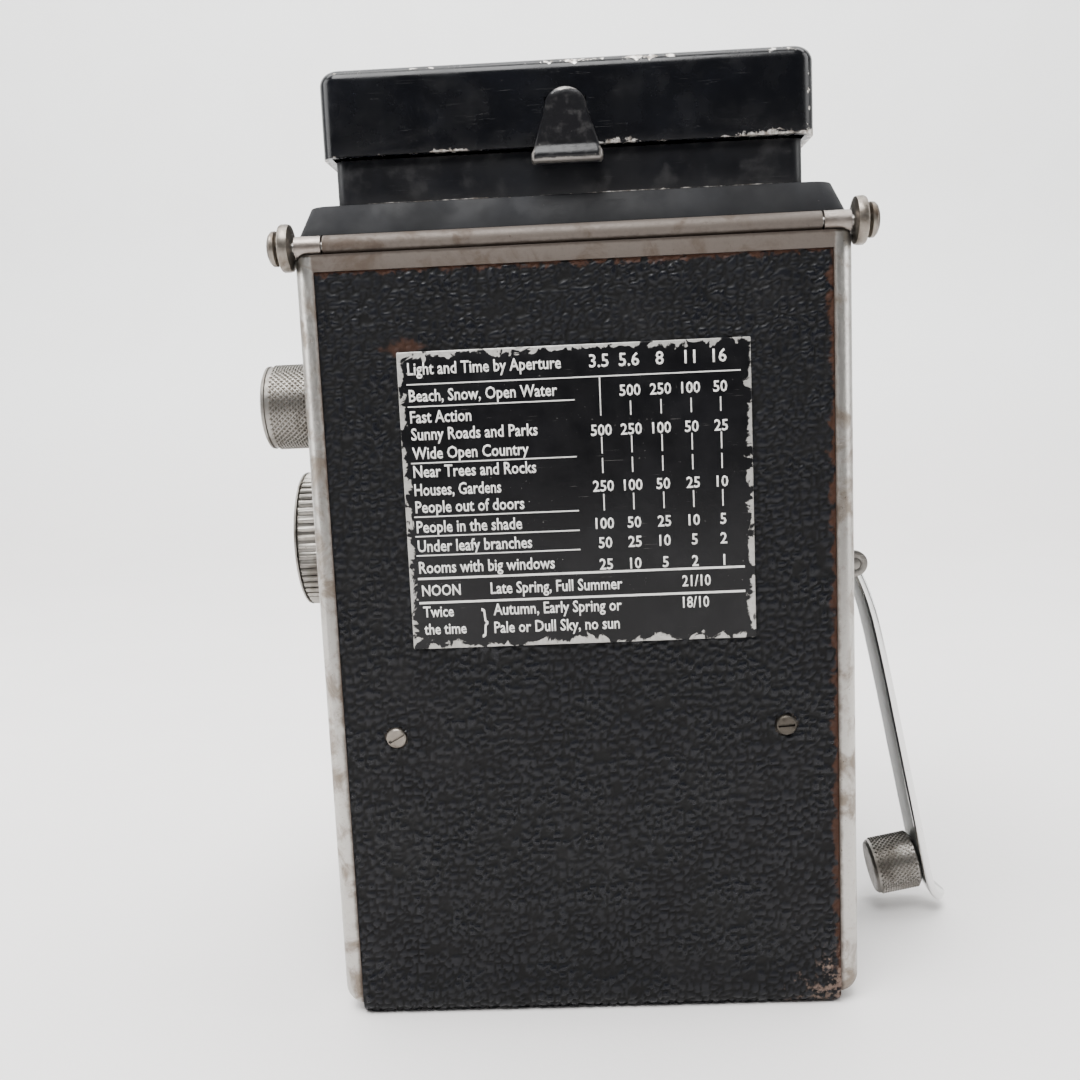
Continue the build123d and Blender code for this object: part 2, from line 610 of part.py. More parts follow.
lid -= rod_x(-COLLAR_HALF, COLLAR_HALF, LID_AXIS, 0.7 + RUNNING)

# Lugs inside the lid for the magnifier and for the catch
MAGNIFIER_AXIS = (LID_AXIS[0] + PANEL_HEIGHT + 3.5, lid_inside - 1.6)
MAGNIFIER_HALF = 13.0
MAGNIFIER_REACH = 26.0
CATCH_AXIS = (lid_rear - 2.2, lid_base + 4.7)
CATCH_TONGUE = 2.5
for side in (-1, 1):
    x0, x1 = sorted((side * (MAGNIFIER_HALF + CLEAR), side * (MAGNIFIER_HALF + 1.5)))
    lid += box(
        x0, x1, MAGNIFIER_AXIS[0] - 1.2, MAGNIFIER_AXIS[0] + 1.2, MAGNIFIER_AXIS[1] - 1.2, lid_inside
    )
    x0, x1 = sorted((side * (CATCH_TONGUE + CLEAR), side * (CATCH_TONGUE + 1.5)))
    lid += box(x0, x1, CATCH_AXIS[0] - 1.2, lid_rear - 1, CATCH_AXIS[1] - 1.2, CATCH_AXIS[1] + 1.2)
lid -= rod_x(-MAGNIFIER_HALF - 1.5, MAGNIFIER_HALF + 1.5, MAGNIFIER_AXIS, PANEL_PIN)
lid -= rod_x(-CATCH_TONGUE - 1.5, CATCH_TONGUE + 1.5, CATCH_AXIS, PANEL_PIN)
lid -= box(
    -CATCH_TONGUE - CLEAR,
    CATCH_TONGUE + CLEAR,
    CATCH_AXIS[0] - 2,
    lid_rear + 1,
    CATCH_AXIS[1] - 1.7,
    CATCH_AXIS[1] + 1.7,
)
export_step(lid, "parts/hood_lid.step")
flap = box(
    FLAP[0] + 0.1, FLAP[1] - 0.1, FLAP[2] + 0.1, FLAP[3] - 0.1, lid_top - FLAP_DEPTH, lid_top
)
export_step(flap, "parts/finder_flap.step")
lid_pins = rod_x(-MAGNIFIER_HALF - 1.5, MAGNIFIER_HALF + 1.5, MAGNIFIER_AXIS, PANEL_PIN)
lid_pins += rod_x(-CATCH_TONGUE - 1.5, CATCH_TONGUE + 1.5, CATCH_AXIS, PANEL_PIN)
export_step(lid_pins, "parts/lid_pins.step")

# Magnifier, folded up under the lid
GLASS_RADIUS = 9.0
glass_centre = (0, MAGNIFIER_AXIS[0] + MAGNIFIER_REACH / 2 + 1)
magnifier = box(
    -MAGNIFIER_HALF,
    MAGNIFIER_HALF,
    MAGNIFIER_AXIS[0],
    MAGNIFIER_AXIS[0] + MAGNIFIER_REACH,
    MAGNIFIER_AXIS[1] - 0.6,
    MAGNIFIER_AXIS[1] + 0.6,
)
magnifier += rod_z(
    MAGNIFIER_AXIS[1] - 1.3, MAGNIFIER_AXIS[1] + 1.3, glass_centre, GLASS_RADIUS + 1.2
)
magnifier += rod_x(-MAGNIFIER_HALF, MAGNIFIER_HALF, MAGNIFIER_AXIS, PANEL_BARREL)
magnifier -= rod_z(0, lid_top, glass_centre, GLASS_RADIUS)
magnifier -= rod_x(-HALF, HALF, MAGNIFIER_AXIS, PANEL_PIN + RUNNING)
export_step(magnifier, "parts/magnifier_frame.step")
glass = rod_z(MAGNIFIER_AXIS[1] - 1.1, MAGNIFIER_AXIS[1] + 1.1, glass_centre, GLASS_RADIUS)
export_step(glass, "parts/magnifier_lens.step")

# Hood catch: a tapered tab outside the lid's rear, on a tongue that reaches its pin inside
CATCH_HALF = 4.85
CATCH_DROP = 2.5
CATCH_LENGTH = 9.9
catch_front = lid_rear + 0.4
catch_low = lid_base - CATCH_DROP
catch_line = [
    (-CATCH_HALF, catch_low),
    (CATCH_HALF, catch_low),
    (0.86 * CATCH_HALF, catch_low + 0.6 * CATCH_LENGTH),
    (0.6 * CATCH_HALF, catch_low + 0.9 * CATCH_LENGTH),
    (0.3 * CATCH_HALF, catch_low + CATCH_LENGTH),
    (-0.3 * CATCH_HALF, catch_low + CATCH_LENGTH),
    (-0.6 * CATCH_HALF, catch_low + 0.9 * CATCH_LENGTH),
    (-0.86 * CATCH_HALF, catch_low + 0.6 * CATCH_LENGTH),
]
catch = prism_y(catch_line, catch_front, catch_front + 1.5)
catch += box(
    -CATCH_TONGUE, CATCH_TONGUE, CATCH_AXIS[0], catch_front + 0.5, CATCH_AXIS[1] - 0.8, CATCH_AXIS[1] + 0.8
)
catch += rod_x(-CATCH_TONGUE, CATCH_TONGUE, CATCH_AXIS, PANEL_BARREL)
catch -= rod_x(-HALF, HALF, CATCH_AXIS, PANEL_PIN + RUNNING)
export_step(catch, "parts/hood_catch.step")

# Lens board with its sleeve, and the arm inside that carries the focusing rack
BOARD_HALF = 30.0 * BODY_WIDTH / 76.0
BOARD_THICKNESS = 4.0
board_rear = BODY_FRONT - 0.4
board_front = board_rear - BOARD_THICKNESS
TAKING_BORE = 11.0
VIEWING_BORE = 12.0
board = box(
    -BOARD_HALF, BOARD_HALF, board_front, board_rear, SLEEVE_BASE - 5, SLEEVE_TOP + 3
)
board = fillet(board.edges().filter_by(Axis.Y), 5.0)
sleeve_outer = SLEEVE_HALF - RUNNING
sleeve = box(
    -sleeve_outer,
    sleeve_outer,
    board_rear,
    SLEEVE_REAR,
    SLEEVE_BASE + RUNNING,
    SLEEVE_TOP - RUNNING,
)
sleeve -= box(
    -sleeve_outer + SLEEVE_WALL,
    sleeve_outer - SLEEVE_WALL,
    board_rear,
    SLEEVE_REAR + 1,
    SLEEVE_BASE + SLEEVE_WALL,
    SLEEVE_TOP - SLEEVE_WALL,
)
board += sleeve
RACK_X0 = CHAMBER_HALF + 2.0
RACK_X1 = RACK_X0 + 2.4
MODULE = 0.5
PINION_TEETH = 12
pinion_pitch = MODULE * PINION_TEETH / 2
rack_line = PINION[1] - pinion_pitch
board += box(
    sleeve_outer - 1, RACK_X1, SLEEVE_REAR - 1.5, SLEEVE_REAR, rack_line - 6.0, rack_line - 1.0
)
board -= rod_y(board_front - 1, board_rear + 1, (0, TAKING_Z), TAKING_BORE)
board -= rod_y(board_front - 1, board_rear + 1, (0, VIEWING_Z), VIEWING_BORE)
export_step(board, "parts/lens_board.step")

# Focusing rack: straight teeth that mesh with the pinion from below
RACK_TIP = 0.6 * MODULE
RACK_ROOT = 1.15 * MODULE
THINNING = 0.08
tooth_pitch = pi * MODULE
rack_teeth = 5
corners = [
    (SLEEVE_REAR, rack_line - 3.2),
    (SLEEVE_REAR, rack_line - RACK_ROOT),
]
for index in range(-2, rack_teeth + 1):
    middle = PINION[0] + (index + 0.5) * tooth_pitch
    half = tooth_pitch / 4 - THINNING / 2
    slope = tan(radians(20))
    corners.append((middle - half - slope * RACK_ROOT, rack_line - RACK_ROOT))
    corners.append((middle - half + slope * RACK_TIP, rack_line + RACK_TIP))
    corners.append((middle + half - slope * RACK_TIP, rack_line + RACK_TIP))
    corners.append((middle + half + slope * RACK_ROOT, rack_line - RACK_ROOT))
rack_end = PINION[0] + (rack_teeth + 1.2) * tooth_pitch
corners += [(rack_end, rack_line - RACK_ROOT), (rack_end, rack_line - 3.2)]
rack = prism_x(corners, RACK_X0, RACK_X1)
export_step(rack, "parts/focus_rack.step")

# Focusing shaft with its pinion, the bearing, the scale dial and the knob
SHAFT = 2.0
KNOB_FACE = HALF + KNOB_STAND
bearing_face = HALF + 0.8
dial_face = bearing_face + 0.3
DIAL_THICKNESS = 1.2
pinion_face = gear_face(PINION_TEETH, MODULE, 0.9 * MODULE, 1.25 * MODULE, THINNING)
pinion = gear_x(pinion_face, PINION, -90.0, RACK_X0, RACK_X1 + 0.2)
pinion += rod_x(RACK_X1 + 0.2, KNOB_FACE - 1.0, PINION, SHAFT)
bearing = rod_x(INNER_HALF, HALF, PINION, BEARING_RADIUS)
bearing += rod_x(HALF, bearing_face, PINION, BEARING_RADIUS + 2.0)
bearing -= rod_x(0, HALF + 5, PINION, SHAFT + RUNNING)
dial = rod_x(dial_face, dial_face + DIAL_THICKNESS, PINION, FOCUS_KNOB_RADIUS + 0.9)
dial -= rod_x(0, HALF + 20, PINION, SHAFT)
knob_start = dial_face + DIAL_THICKNESS
knob_face = ridged_face(FOCUS_KNOB_RADIUS, 48, 0.5)
knob = extrude(Plane.YZ.offset(knob_start) * knob_face, KNOB_FACE - knob_start)
knob = Pos(0, PINION[0], PINION[1]) * knob - rod_x(0, KNOB_FACE - 1.0, PINION, SHAFT)
knob -= rod_x(KNOB_FACE - 0.6, KNOB_FACE + 1, PINION, FOCUS_KNOB_RADIUS - 2.5)
export_step(pinion, "parts/focus_pinion.step")
export_step(dial, "parts/focus_scale.step")
export_step(knob, "parts/focus_knob.step")

# Lenses: two barrels on the board, the lower one on the shutter housing
SHUTTER_RADIUS = 17.5
SHUTTER_DEPTH = 6.0
BARREL_RADIUS = 13.5
shutter_front = board_front - SHUTTER_DEPTH
taking = (0, TAKING_Z)
viewing = (0, VIEWING_Z)
housing = ring_y(shutter_front, board_front, taking, SHUTTER_RADIUS, TAKING_BORE)
viewing_barrel = ring_y(board_front - 11.0, board_front, viewing, BARREL_RADIUS + 0.5, VIEWING_BORE - 1)
viewing_barrel += ring_y(board_front, board_rear, viewing, VIEWING_BORE, VIEWING_BORE - 1)
taking_barrel = ring_y(shutter_front - 7.0, shutter_front, taking, BARREL_RADIUS, TAKING_BORE)
viewing_glass = lens_y(viewing, VIEWING_BORE - 1, board_front - 8.0, 1.5, 1.6, 1.2)
taking_glass = lens_y(taking, TAKING_BORE, shutter_front - 4.0, 1.5, 1.6, 1.2)
rear_cell = ring_y(board_front, SLEEVE_REAR - 3.0, taking, TAKING_BORE, TAKING_BORE - 1.5)
rear_cell += rod_y(SLEEVE_REAR - 6.0, SLEEVE_REAR - 4.0, taking, TAKING_BORE - 1.5)
blades = rod_y(board_front - 1.6, board_front - 1.2, taking, TAKING_BORE)
export_step(housing, "parts/shutter_housing.step")
export_step(viewing_barrel, "parts/viewing_lens_barrel.step")
export_step(taking_barrel, "parts/taking_lens_barrel.step")
export_step(viewing_glass, "parts/viewing_lens_glass.step")
export_step(taking_glass, "parts/taking_lens_glass.step")
export_step(rear_cell, "parts/rear_lens_cell.step")
export_step(blades, "parts/shutter_blades.step")

# Two rings round the shutter housing: the aperture's and the shutter's, each with a finger tab
RING_DEPTH = 1.5
for name, ring_front, tab in (
    ("aperture_lever", shutter_front + 0.8, 160.0),
    ("shutter_lever", shutter_front + 3.2, 20.0),
):
    ring = rod_y(ring_front, ring_front + RING_DEPTH, taking, SHUTTER_RADIUS + 1.2)
    arm = box(0, SHUTTER_RADIUS + 6.0, ring_front, ring_front + RING_DEPTH, -1.6, 1.6)
    ring += Pos(0, 0, TAKING_Z) * (Rot(0, -tab, 0) * arm)
    ring -= rod_y(ring_front - 1, ring_front + 3, taking, SHUTTER_RADIUS + RUNNING)
    export_step(ring, f"parts/{name}.step")

# Winding gears in the right-hand side space: crank gear, idler and take-up drive
WIND_MODULE = 0.8
CRANK_TEETH = 24
IDLER_TEETH = 18
wind_thinning = 0.12
gear_outer = INNER_HALF - 0.4
gear_inner = gear_outer - 1.8
wheel = gear_face(CRANK_TEETH, WIND_MODULE, 0.9 * WIND_MODULE, 1.25 * WIND_MODULE, wind_thinning)
small_wheel = gear_face(IDLER_TEETH, WIND_MODULE, 0.9 * WIND_MODULE, 1.25 * WIND_MODULE, wind_thinning)
span = hypot(TAKEUP[0] - CRANK[0], TAKEUP[1] - CRANK[1])
centres = WIND_MODULE * (CRANK_TEETH + IDLER_TEETH) / 2
offset = sqrt(centres**2 - span**2 / 4)
along = ((TAKEUP[0] - CRANK[0]) / span, (TAKEUP[1] - CRANK[1]) / span)
IDLER = (
    (CRANK[0] + TAKEUP[0]) / 2 - offset * along[1],
    (CRANK[1] + TAKEUP[1]) / 2 + offset * along[0],
)
to_idler = degrees(atan2(IDLER[1] - CRANK[1], IDLER[0] - CRANK[0]))
to_takeup = degrees(atan2(TAKEUP[1] - IDLER[1], TAKEUP[0] - IDLER[0]))
idler_pitch = 360.0 / IDLER_TEETH
wheel_pitch = 360.0 / CRANK_TEETH
idler_tooth = to_idler + 180.0 + idler_pitch / 2
phase = ((to_takeup - idler_tooth) % idler_pitch) / idler_pitch
takeup_tooth = to_takeup + 180.0 + (phase + 0.5) * wheel_pitch
POST_RADIUS = 1.5
crank_gear = gear_x(wheel, CRANK, to_idler, -gear_outer, -gear_inner)
crank_gear -= rod_x(-HALF, 0, CRANK, SHAFT_RADIUS)
idler = gear_x(small_wheel, IDLER, idler_tooth, -gear_outer, -gear_inner)
idler -= rod_x(-HALF, 0, IDLER, POST_RADIUS + RUNNING)
drive = gear_x(wheel, TAKEUP, takeup_tooth, -gear_outer, -gear_inner)
drive += rod_x(-gear_inner, -SPOOL_HALF, TAKEUP, 5.0)
drive -= rod_x(-HALF, -gear_inner - 0.2, TAKEUP, POST_RADIUS + RUNNING)
SPOOL_HOLE = 3.2
drive += rod_x(-SPOOL_HALF, -SPOOL_HALF + 3.5, TAKEUP, SPOOL_HOLE)
posts = rod_x(-INNER_HALF, -gear_inner - 0.2, IDLER, POST_RADIUS)
posts += rod_x(-INNER_HALF, -gear_inner - 0.4, TAKEUP, POST_RADIUS)
export_step(crank_gear, "parts/crank_gear.step")
export_step(idler, "parts/idler_gear.step")
export_step(drive, "parts/takeup_drive.step")
export_step(posts, "parts/gear_posts.step")

# Take-up spool: a core between two flanges, with a slot for the film's tongue
CORE_RADIUS = 5.75
FLANGE_THICKNESS = 1.0
spool = rod_x(-SPOOL_HALF, SPOOL_HALF, TAKEUP, CORE_RADIUS)
spool += rod_x(-SPOOL_HALF, -SPOOL_HALF + FLANGE_THICKNESS, TAKEUP, SPOOL_RADIUS)
spool += rod_x(SPOOL_HALF - FLANGE_THICKNESS, SPOOL_HALF, TAKEUP, SPOOL_RADIUS)
spool -= rod_x(-SPOOL_HALF, -SPOOL_HALF + 6.0, TAKEUP, SPOOL_HOLE)
spool -= rod_x(SPOOL_HALF - 6.0, SPOOL_HALF, TAKEUP, SPOOL_HOLE)
spool -= box(-18, 18, TAKEUP[0] - 8, TAKEUP[0] + 8, TAKEUP[1] - 0.8, TAKEUP[1] + 0.8)
export_step(spool, "parts/takeup_spool.step")

# Spool knobs on the left, sliding outwards in fixed guide tubes
GUIDE_BORE = SPOOL_HOLE
guide_end = HALF + 4.0
guides = None
for name, centre in (("takeup", TAKEUP), ("supply", SUPPLY)):
    guide = rod_x(INNER_HALF, guide_end, centre, GUIDE_RADIUS)
    guide += rod_x(HALF, HALF + 0.6, centre, GUIDE_RADIUS + 0.8)
    guide -= rod_x(0, guide_end + 1, centre, GUIDE_BORE)
    guides = guide if guides is None else guides + guide
    head_start = HALF + 0.9
    knob = rod_x(head_start, KNOB_FACE, centre, SPOOL_KNOB_RADIUS)
    knob = fillet(knob.edges().group_by(Axis.X)[-1], 1.2)
    knob -= rod_x(head_start - 1, guide_end + 0.5, centre, GUIDE_RADIUS + 0.8 + CLEAR)
    knob += rod_x(SPOOL_HALF - 3.7, guide_end + 1, centre, SPOOL_HOLE - RUNNING)
    export_step(knob, f"parts/{name}_knob.step")
export_step(guides, "parts/knob_guides.step")

# Film rollers, free on their journals
for name, centre in (("upper", UPPER_ROLLER), ("lower", LOWER_ROLLER)):
    roller = rod_x(-ROLLER_HALF, ROLLER_HALF, centre, ROLLER_RADIUS)
    roller += rod_x(-INNER_HALF + 0.4, INNER_HALF - 0.4, centre, JOURNAL_RADIUS)
    export_step(roller, f"parts/{name}_film_roller.step")

# Crank: the hub with its shaft and clevis, the folding arm and the handle
hub_start = HALF + 0.6
hub_end = HALF + 3.5
FOLD_PIN = 1.0
FOLD_BARREL = 1.7
FOLD_X = -hub_end - 1.9
EAR_RADIUS = 2.1
EAR_THICKNESS = 1.5
crank_bush = rod_x(-HALF, -INNER_HALF, CRANK, BEARING_RADIUS)
crank_bush -= rod_x(-HALF - 1, 0, CRANK, SHAFT_RADIUS + RUNNING)
hub = rod_x(-hub_end, -hub_start, CRANK, CRANK_RADIUS)
hub = fillet(hub.edges().group_by(Axis.X)[0], 0.8)
hub += rod_x(-hub_start, -gear_inner, CRANK, SHAFT_RADIUS)
ear_gap = CRANK_WIDTH / 2 + 0.2
ear_outer = ear_gap + EAR_THICKNESS
fold_line = (FOLD_X, CRANK[1])
for side in (-1, 1):
    y0, y1 = sorted((CRANK[0] + side * ear_gap, CRANK[0] + side * ear_outer))
    hub += box(FOLD_X, -hub_end + 0.5, y0, y1, CRANK[1] - EAR_RADIUS, CRANK[1] + EAR_RADIUS)
    hub += rod_y(y0, y1, fold_line, EAR_RADIUS)
hub -= rod_y(CRANK[0] - ear_outer - 1, CRANK[0] + ear_outer + 1, fold_line, FOLD_PIN)
fold_pin = rod_y(CRANK[0] - ear_outer, CRANK[0] + ear_outer, fold_line, FOLD_PIN)
export_step(bearing + crank_bush, "parts/shaft_bearings.step")
export_step(hub, "parts/crank_hub.step")
export_step(fold_pin, "parts/crank_fold_pin.step")

# Arm: a bent strip, given by its run out from the fold pin
STRIP = 1.5
path = [(0.0, 0.0), (-2.6, -5.0), (-5.1, -16.0), (-11.35, -48.7), (-12.7, -55.9), (-15.9, -58.9)]
arm = rod_y(CRANK[0] - CRANK_WIDTH / 2, CRANK[0] + CRANK_WIDTH / 2, fold_line, FOLD_BARREL)
for (x0, z0), (x1, z1) in zip(path, path[1:]):
    run = hypot(x1 - x0, z1 - z0)
    nx = (z1 - z0) / run * STRIP / 2
    nz = -(x1 - x0) / run * STRIP / 2
    strip_line = [
        (FOLD_X + x0 + nx, CRANK[1] + z0 + nz),
        (FOLD_X + x1 + nx, CRANK[1] + z1 + nz),
        (FOLD_X + x1 - nx, CRANK[1] + z1 - nz),
        (FOLD_X + x0 - nx, CRANK[1] + z0 - nz),
    ]
    arm += prism_y(strip_line, CRANK[0] - CRANK_WIDTH / 2, CRANK[0] + CRANK_WIDTH / 2)
    if (x0, z0) != (0.0, 0.0):
        arm += rod_y(
            CRANK[0] - CRANK_WIDTH / 2,
            CRANK[0] + CRANK_WIDTH / 2,
            (FOLD_X + x0, CRANK[1] + z0),
            STRIP / 2,
        )
arm -= rod_y(CRANK[0] - CRANK_WIDTH, CRANK[0] + CRANK_WIDTH, fold_line, FOLD_PIN + RUNNING)

# Handle: free on a pin that stands square to the last straight of the arm
HANDLE_RADIUS = 4.75
HANDLE_LENGTH = 7.6
HANDLE_PIN = 1.2
handle_seat = (FOLD_X + (path[3][0] + path[4][0]) / 2, CRANK[1] + (path[3][1] + path[4][1]) / 2)
lean = degrees(atan2(path[3][0] - path[4][0], path[3][1] - path[4][1]))
seat = Pos(handle_seat[0], CRANK[0], handle_seat[1]) * Rot(0, 90 + lean, 0)


def along_pin(start, length, radius):
    """Cylinder along the handle's axis, measured inwards from the arm's middle plane."""
    return seat * (
        Pos(0, 0, start) * Cylinder(radius, length, align=(Align.CENTER, Align.CENTER, Align.MIN))
    )


pin_start = STRIP / 2
arm += along_pin(0, pin_start + HANDLE_LENGTH - 0.4, HANDLE_PIN)
handle = along_pin(pin_start + 0.2, HANDLE_LENGTH, HANDLE_RADIUS)
handle -= along_pin(pin_start, HANDLE_LENGTH - 0.2, HANDLE_PIN + RUNNING)
export_step(arm, "parts/crank_arm.step")
export_step(handle, "parts/crank_handle.step")
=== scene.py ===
"""Twin lens reflex camera with its hood folded, on a plain pale sweep."""
import json
import math
import random
from math import cos, pi, radians, sin

import bmesh
import bpy
from mathutils import Matrix, Vector, noise
from mathutils.kdtree import KDTree

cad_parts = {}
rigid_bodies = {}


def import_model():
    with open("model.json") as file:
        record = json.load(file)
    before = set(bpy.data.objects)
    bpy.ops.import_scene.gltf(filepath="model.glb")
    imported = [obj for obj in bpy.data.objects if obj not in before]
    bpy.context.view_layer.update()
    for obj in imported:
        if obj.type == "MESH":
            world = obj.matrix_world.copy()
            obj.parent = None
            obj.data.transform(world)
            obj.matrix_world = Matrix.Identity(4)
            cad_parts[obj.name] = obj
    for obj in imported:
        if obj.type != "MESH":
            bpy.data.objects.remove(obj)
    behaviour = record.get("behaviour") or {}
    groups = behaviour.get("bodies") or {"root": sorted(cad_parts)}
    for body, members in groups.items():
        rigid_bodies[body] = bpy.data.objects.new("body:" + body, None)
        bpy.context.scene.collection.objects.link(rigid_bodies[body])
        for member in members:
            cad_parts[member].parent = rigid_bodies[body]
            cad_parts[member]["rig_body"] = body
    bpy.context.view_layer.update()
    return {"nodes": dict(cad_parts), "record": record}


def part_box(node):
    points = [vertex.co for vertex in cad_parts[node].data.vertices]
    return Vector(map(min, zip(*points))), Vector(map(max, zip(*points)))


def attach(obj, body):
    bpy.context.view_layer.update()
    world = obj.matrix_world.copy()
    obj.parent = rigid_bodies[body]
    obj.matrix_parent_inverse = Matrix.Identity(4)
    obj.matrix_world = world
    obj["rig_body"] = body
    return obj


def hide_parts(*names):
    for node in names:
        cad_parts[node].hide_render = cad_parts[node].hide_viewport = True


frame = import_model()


# Back leather. The real covering is thin pebbled goatskin, dyed blue-black and glued into the
# tray of the back; it runs on round the lower rear edge. Its grain is real relief here, and each
# point keeps its height so that the creases can be coloured darker as painted shade.
MM = 0.001


class Finish:
    """A material put together from short calls, each giving the socket that the next one takes."""

    def __init__(self, name):
        self.material = bpy.data.materials.new(name)
        self.material.use_nodes = True
        self.tree = self.material.node_tree
        self.tree.nodes.clear()
        self.place = self.add("ShaderNodeTexCoord", {}).outputs["Object"]

    def add(self, kind, inputs, **settings):
        node = self.tree.nodes.new(kind)
        for name, value in settings.items():
            setattr(node, name, value)
        for key, value in inputs.items():
            if isinstance(value, bpy.types.NodeSocket):
                self.tree.links.new(value, node.inputs[key])
            else:
                node.inputs[key].default_value = value
        return node

    def calc(self, operation, first, second=0.0):
        return self.add("ShaderNodeMath", {0: first, 1: second}, operation=operation).outputs[0]

    def cloud(self, size, detail=4.0, stretch=(1, 1, 1), turn=(0, 0, 0), distortion=0.0):
        """Soft noise whose blobs are about size mm across, longer along a stretched axis."""
        turned = self.add("ShaderNodeMapping", {
            "Vector": self.place,
            "Rotation": tuple(radians(angle) for angle in turn),
            "Scale": tuple(1 / (MM * size * along) for along in stretch),
        })
        return self.add("ShaderNodeTexNoise", {
            "Vector": turned.outputs[0], "Scale": 1.0, "Detail": detail,
            "Roughness": 0.6, "Distortion": distortion,
        }).outputs[0]

    def step(self, value, low, high, start=0.0, end=1.0):
        """Smooth change from start, where value is low, to end, where it is high."""
        return self.add("ShaderNodeMapRange", {
            "Value": value, "From Min": low, "From Max": high, "To Min": start, "To Max": end,
        }, interpolation_type="SMOOTHSTEP").outputs[0]

    def mix(self, share, first, second):
        first = (*first, 1) if isinstance(first, tuple) else first
        second = (*second, 1) if isinstance(second, tuple) else second
        return self.add("ShaderNodeMix", {0: share, 6: first, 7: second}, data_type="RGBA").outputs[2]

    def blend(self, share, first, second):
        return self.add("ShaderNodeMix", {0: share, 2: first, 3: second}, data_type="FLOAT").outputs[0]

    def read(self, name):
        return self.add("ShaderNodeAttribute", {}, attribute_name=name).outputs["Fac"]

    def across(self, axis):
        """Distance along one axis of the camera, in mm."""
        parts = self.add("ShaderNodeSeparateXYZ", {0: self.place})
        return self.calc("MULTIPLY", parts.outputs["XYZ".index(axis)], 1 / MM)

    def scratches(self, length, width, turn, amount=0.69):
        """Thin lines of wear, 1 on a line and 0 off it."""
        lines = self.cloud(width, 2.0, (length / width, 1, 1), turn)
        patches = self.cloud(length * 0.8, 3.0, (1, 1, 1), turn)
        return self.calc("MULTIPLY", self.step(lines, amount, amount + 0.03), self.step(patches, 0.5, 0.6))

    def edge(self, node):
        """Distance in mm from the nearest edge of a CAD node's box, for a point on its faces."""
        low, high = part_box(node)
        middle = (low + high) / 2
        half = (high - low) / 2
        away = self.add("ShaderNodeVectorMath", {0: self.place, 1: tuple(middle)}, operation="SUBTRACT")
        away = self.add("ShaderNodeVectorMath", {0: away.outputs[0]}, operation="ABSOLUTE")
        away = self.add("ShaderNodeVectorMath", {0: tuple(half), 1: away.outputs[0]}, operation="SUBTRACT")
        parts = self.add("ShaderNodeSeparateXYZ", {0: away.outputs[0]}).outputs
        least = self.calc("MINIMUM", parts[0], parts[1])
        most = self.calc("MAXIMUM", parts[0], parts[1])
        second = self.calc("MAXIMUM", least, self.calc("MINIMUM", most, parts[2]))
        return self.calc("MULTIPLY", second, 1 / MM)

    def done(self, colour, metallic, roughness, height=None, relief=0.02, **constants):
        colour = (*colour, 1) if isinstance(colour, tuple) else colour
        inputs = {"Base Color": colour, "Metallic": metallic, "Roughness": roughness, **constants}
        if height is not None:
            inputs["Normal"] = self.add("ShaderNodeBump", {
                "Strength": 1.0, "Distance": relief * MM, "Height": height,
            }).outputs[0]
        shader = self.add("ShaderNodeBsdfPrincipled", inputs)
        self.add("ShaderNodeOutputMaterial", {"Surface": shader.outputs[0]})
        return self.material


def in_mm(node):
    low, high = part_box(node)
    return [value / MM for value in low], [value / MM for value in high]


def fit(name, mesh, nodes, material=None, sharp=38):
    """Shows a finished mesh in place of its CAD nodes, moving with the first one's body."""
    if material:
        mesh.materials.clear()
        mesh.materials.append(material)
    mesh.shade_smooth()
    mesh.set_sharp_from_angle(angle=radians(sharp))
    piece = bpy.data.objects.new(name, mesh)
    bpy.context.scene.collection.objects.link(piece)
    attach(piece, frame["nodes"][nodes[0]]["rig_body"])
    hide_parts(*nodes)
    return piece


def grained(name, columns, rows, place, keep, cell, depth, seed):
    """Leather over a surface: place(column, row share) gives a point and the way it faces, in mm."""
    rng = random.Random(seed)
    noise.seed_set(seed)
    wide, tall = keep["wide"], keep["tall"]
    tree = KDTree(int(wide / cell + 3) * int(tall / cell + 3))
    for i in range(int(wide / cell + 3)):
        for j in range(int(tall / cell + 3)):
            spot = ((i - 1 + rng.uniform(0.0, 1.0)) * cell, (j - 1 + rng.uniform(0.0, 1.0)) * cell, 0)
            tree.insert(spot, i)
    tree.balance()
    points, grain, kept = [], [], []
    for row in range(rows + 1):
        for column in range(columns + 1):
            across, down = wide * column / columns, tall * row / rows
            spot = Vector((across, down, 0))
            bend = noise.noise_vector(spot * 0.8) * 0.45
            near = tree.find_n((spot.x + bend.x, spot.y + bend.y, 0), 2)
            gap = near[1][2] - near[0][2]
            pebble = min(1.0, max(0.0, (gap - 0.06) / (0.3 * cell)))
            pebble = pebble * pebble * (3 - 2 * pebble)
            dome = max(0.0, 1 - (near[0][2] / (0.75 * cell)) ** 2)
            height = pebble * (0.62 + 0.38 * dome) * (0.82 + 0.3 * noise.noise(spot * 0.25))
            height = min(1.0, max(0.0, height + 0.05 * noise.noise(spot * 2.6)))
            border = min(across, wide - across, down, tall - down)
            lift = height * min(1.0, 0.25 + border / 1.2)
            point, facing = place(across, down)
            points.append((Vector(point) + Vector(facing) * depth * lift) * MM)
            grain.append(height)
            kept.append(keep["test"](*point))
    faces = []
    for row in range(rows):
        for column in range(columns):
            a = row * (columns + 1) + column
            corners = (a, a + 1, a + columns + 2, a + columns + 1)
            if all(kept[c] for c in corners):
                faces.append(corners if keep["turn"] else corners[::-1])
    mesh = bpy.data.meshes.new(name)
    mesh.from_pydata(points, [], faces)
    mesh.attributes.new("grain", "FLOAT", "POINT").data.foreach_set("value", grain)
    return mesh


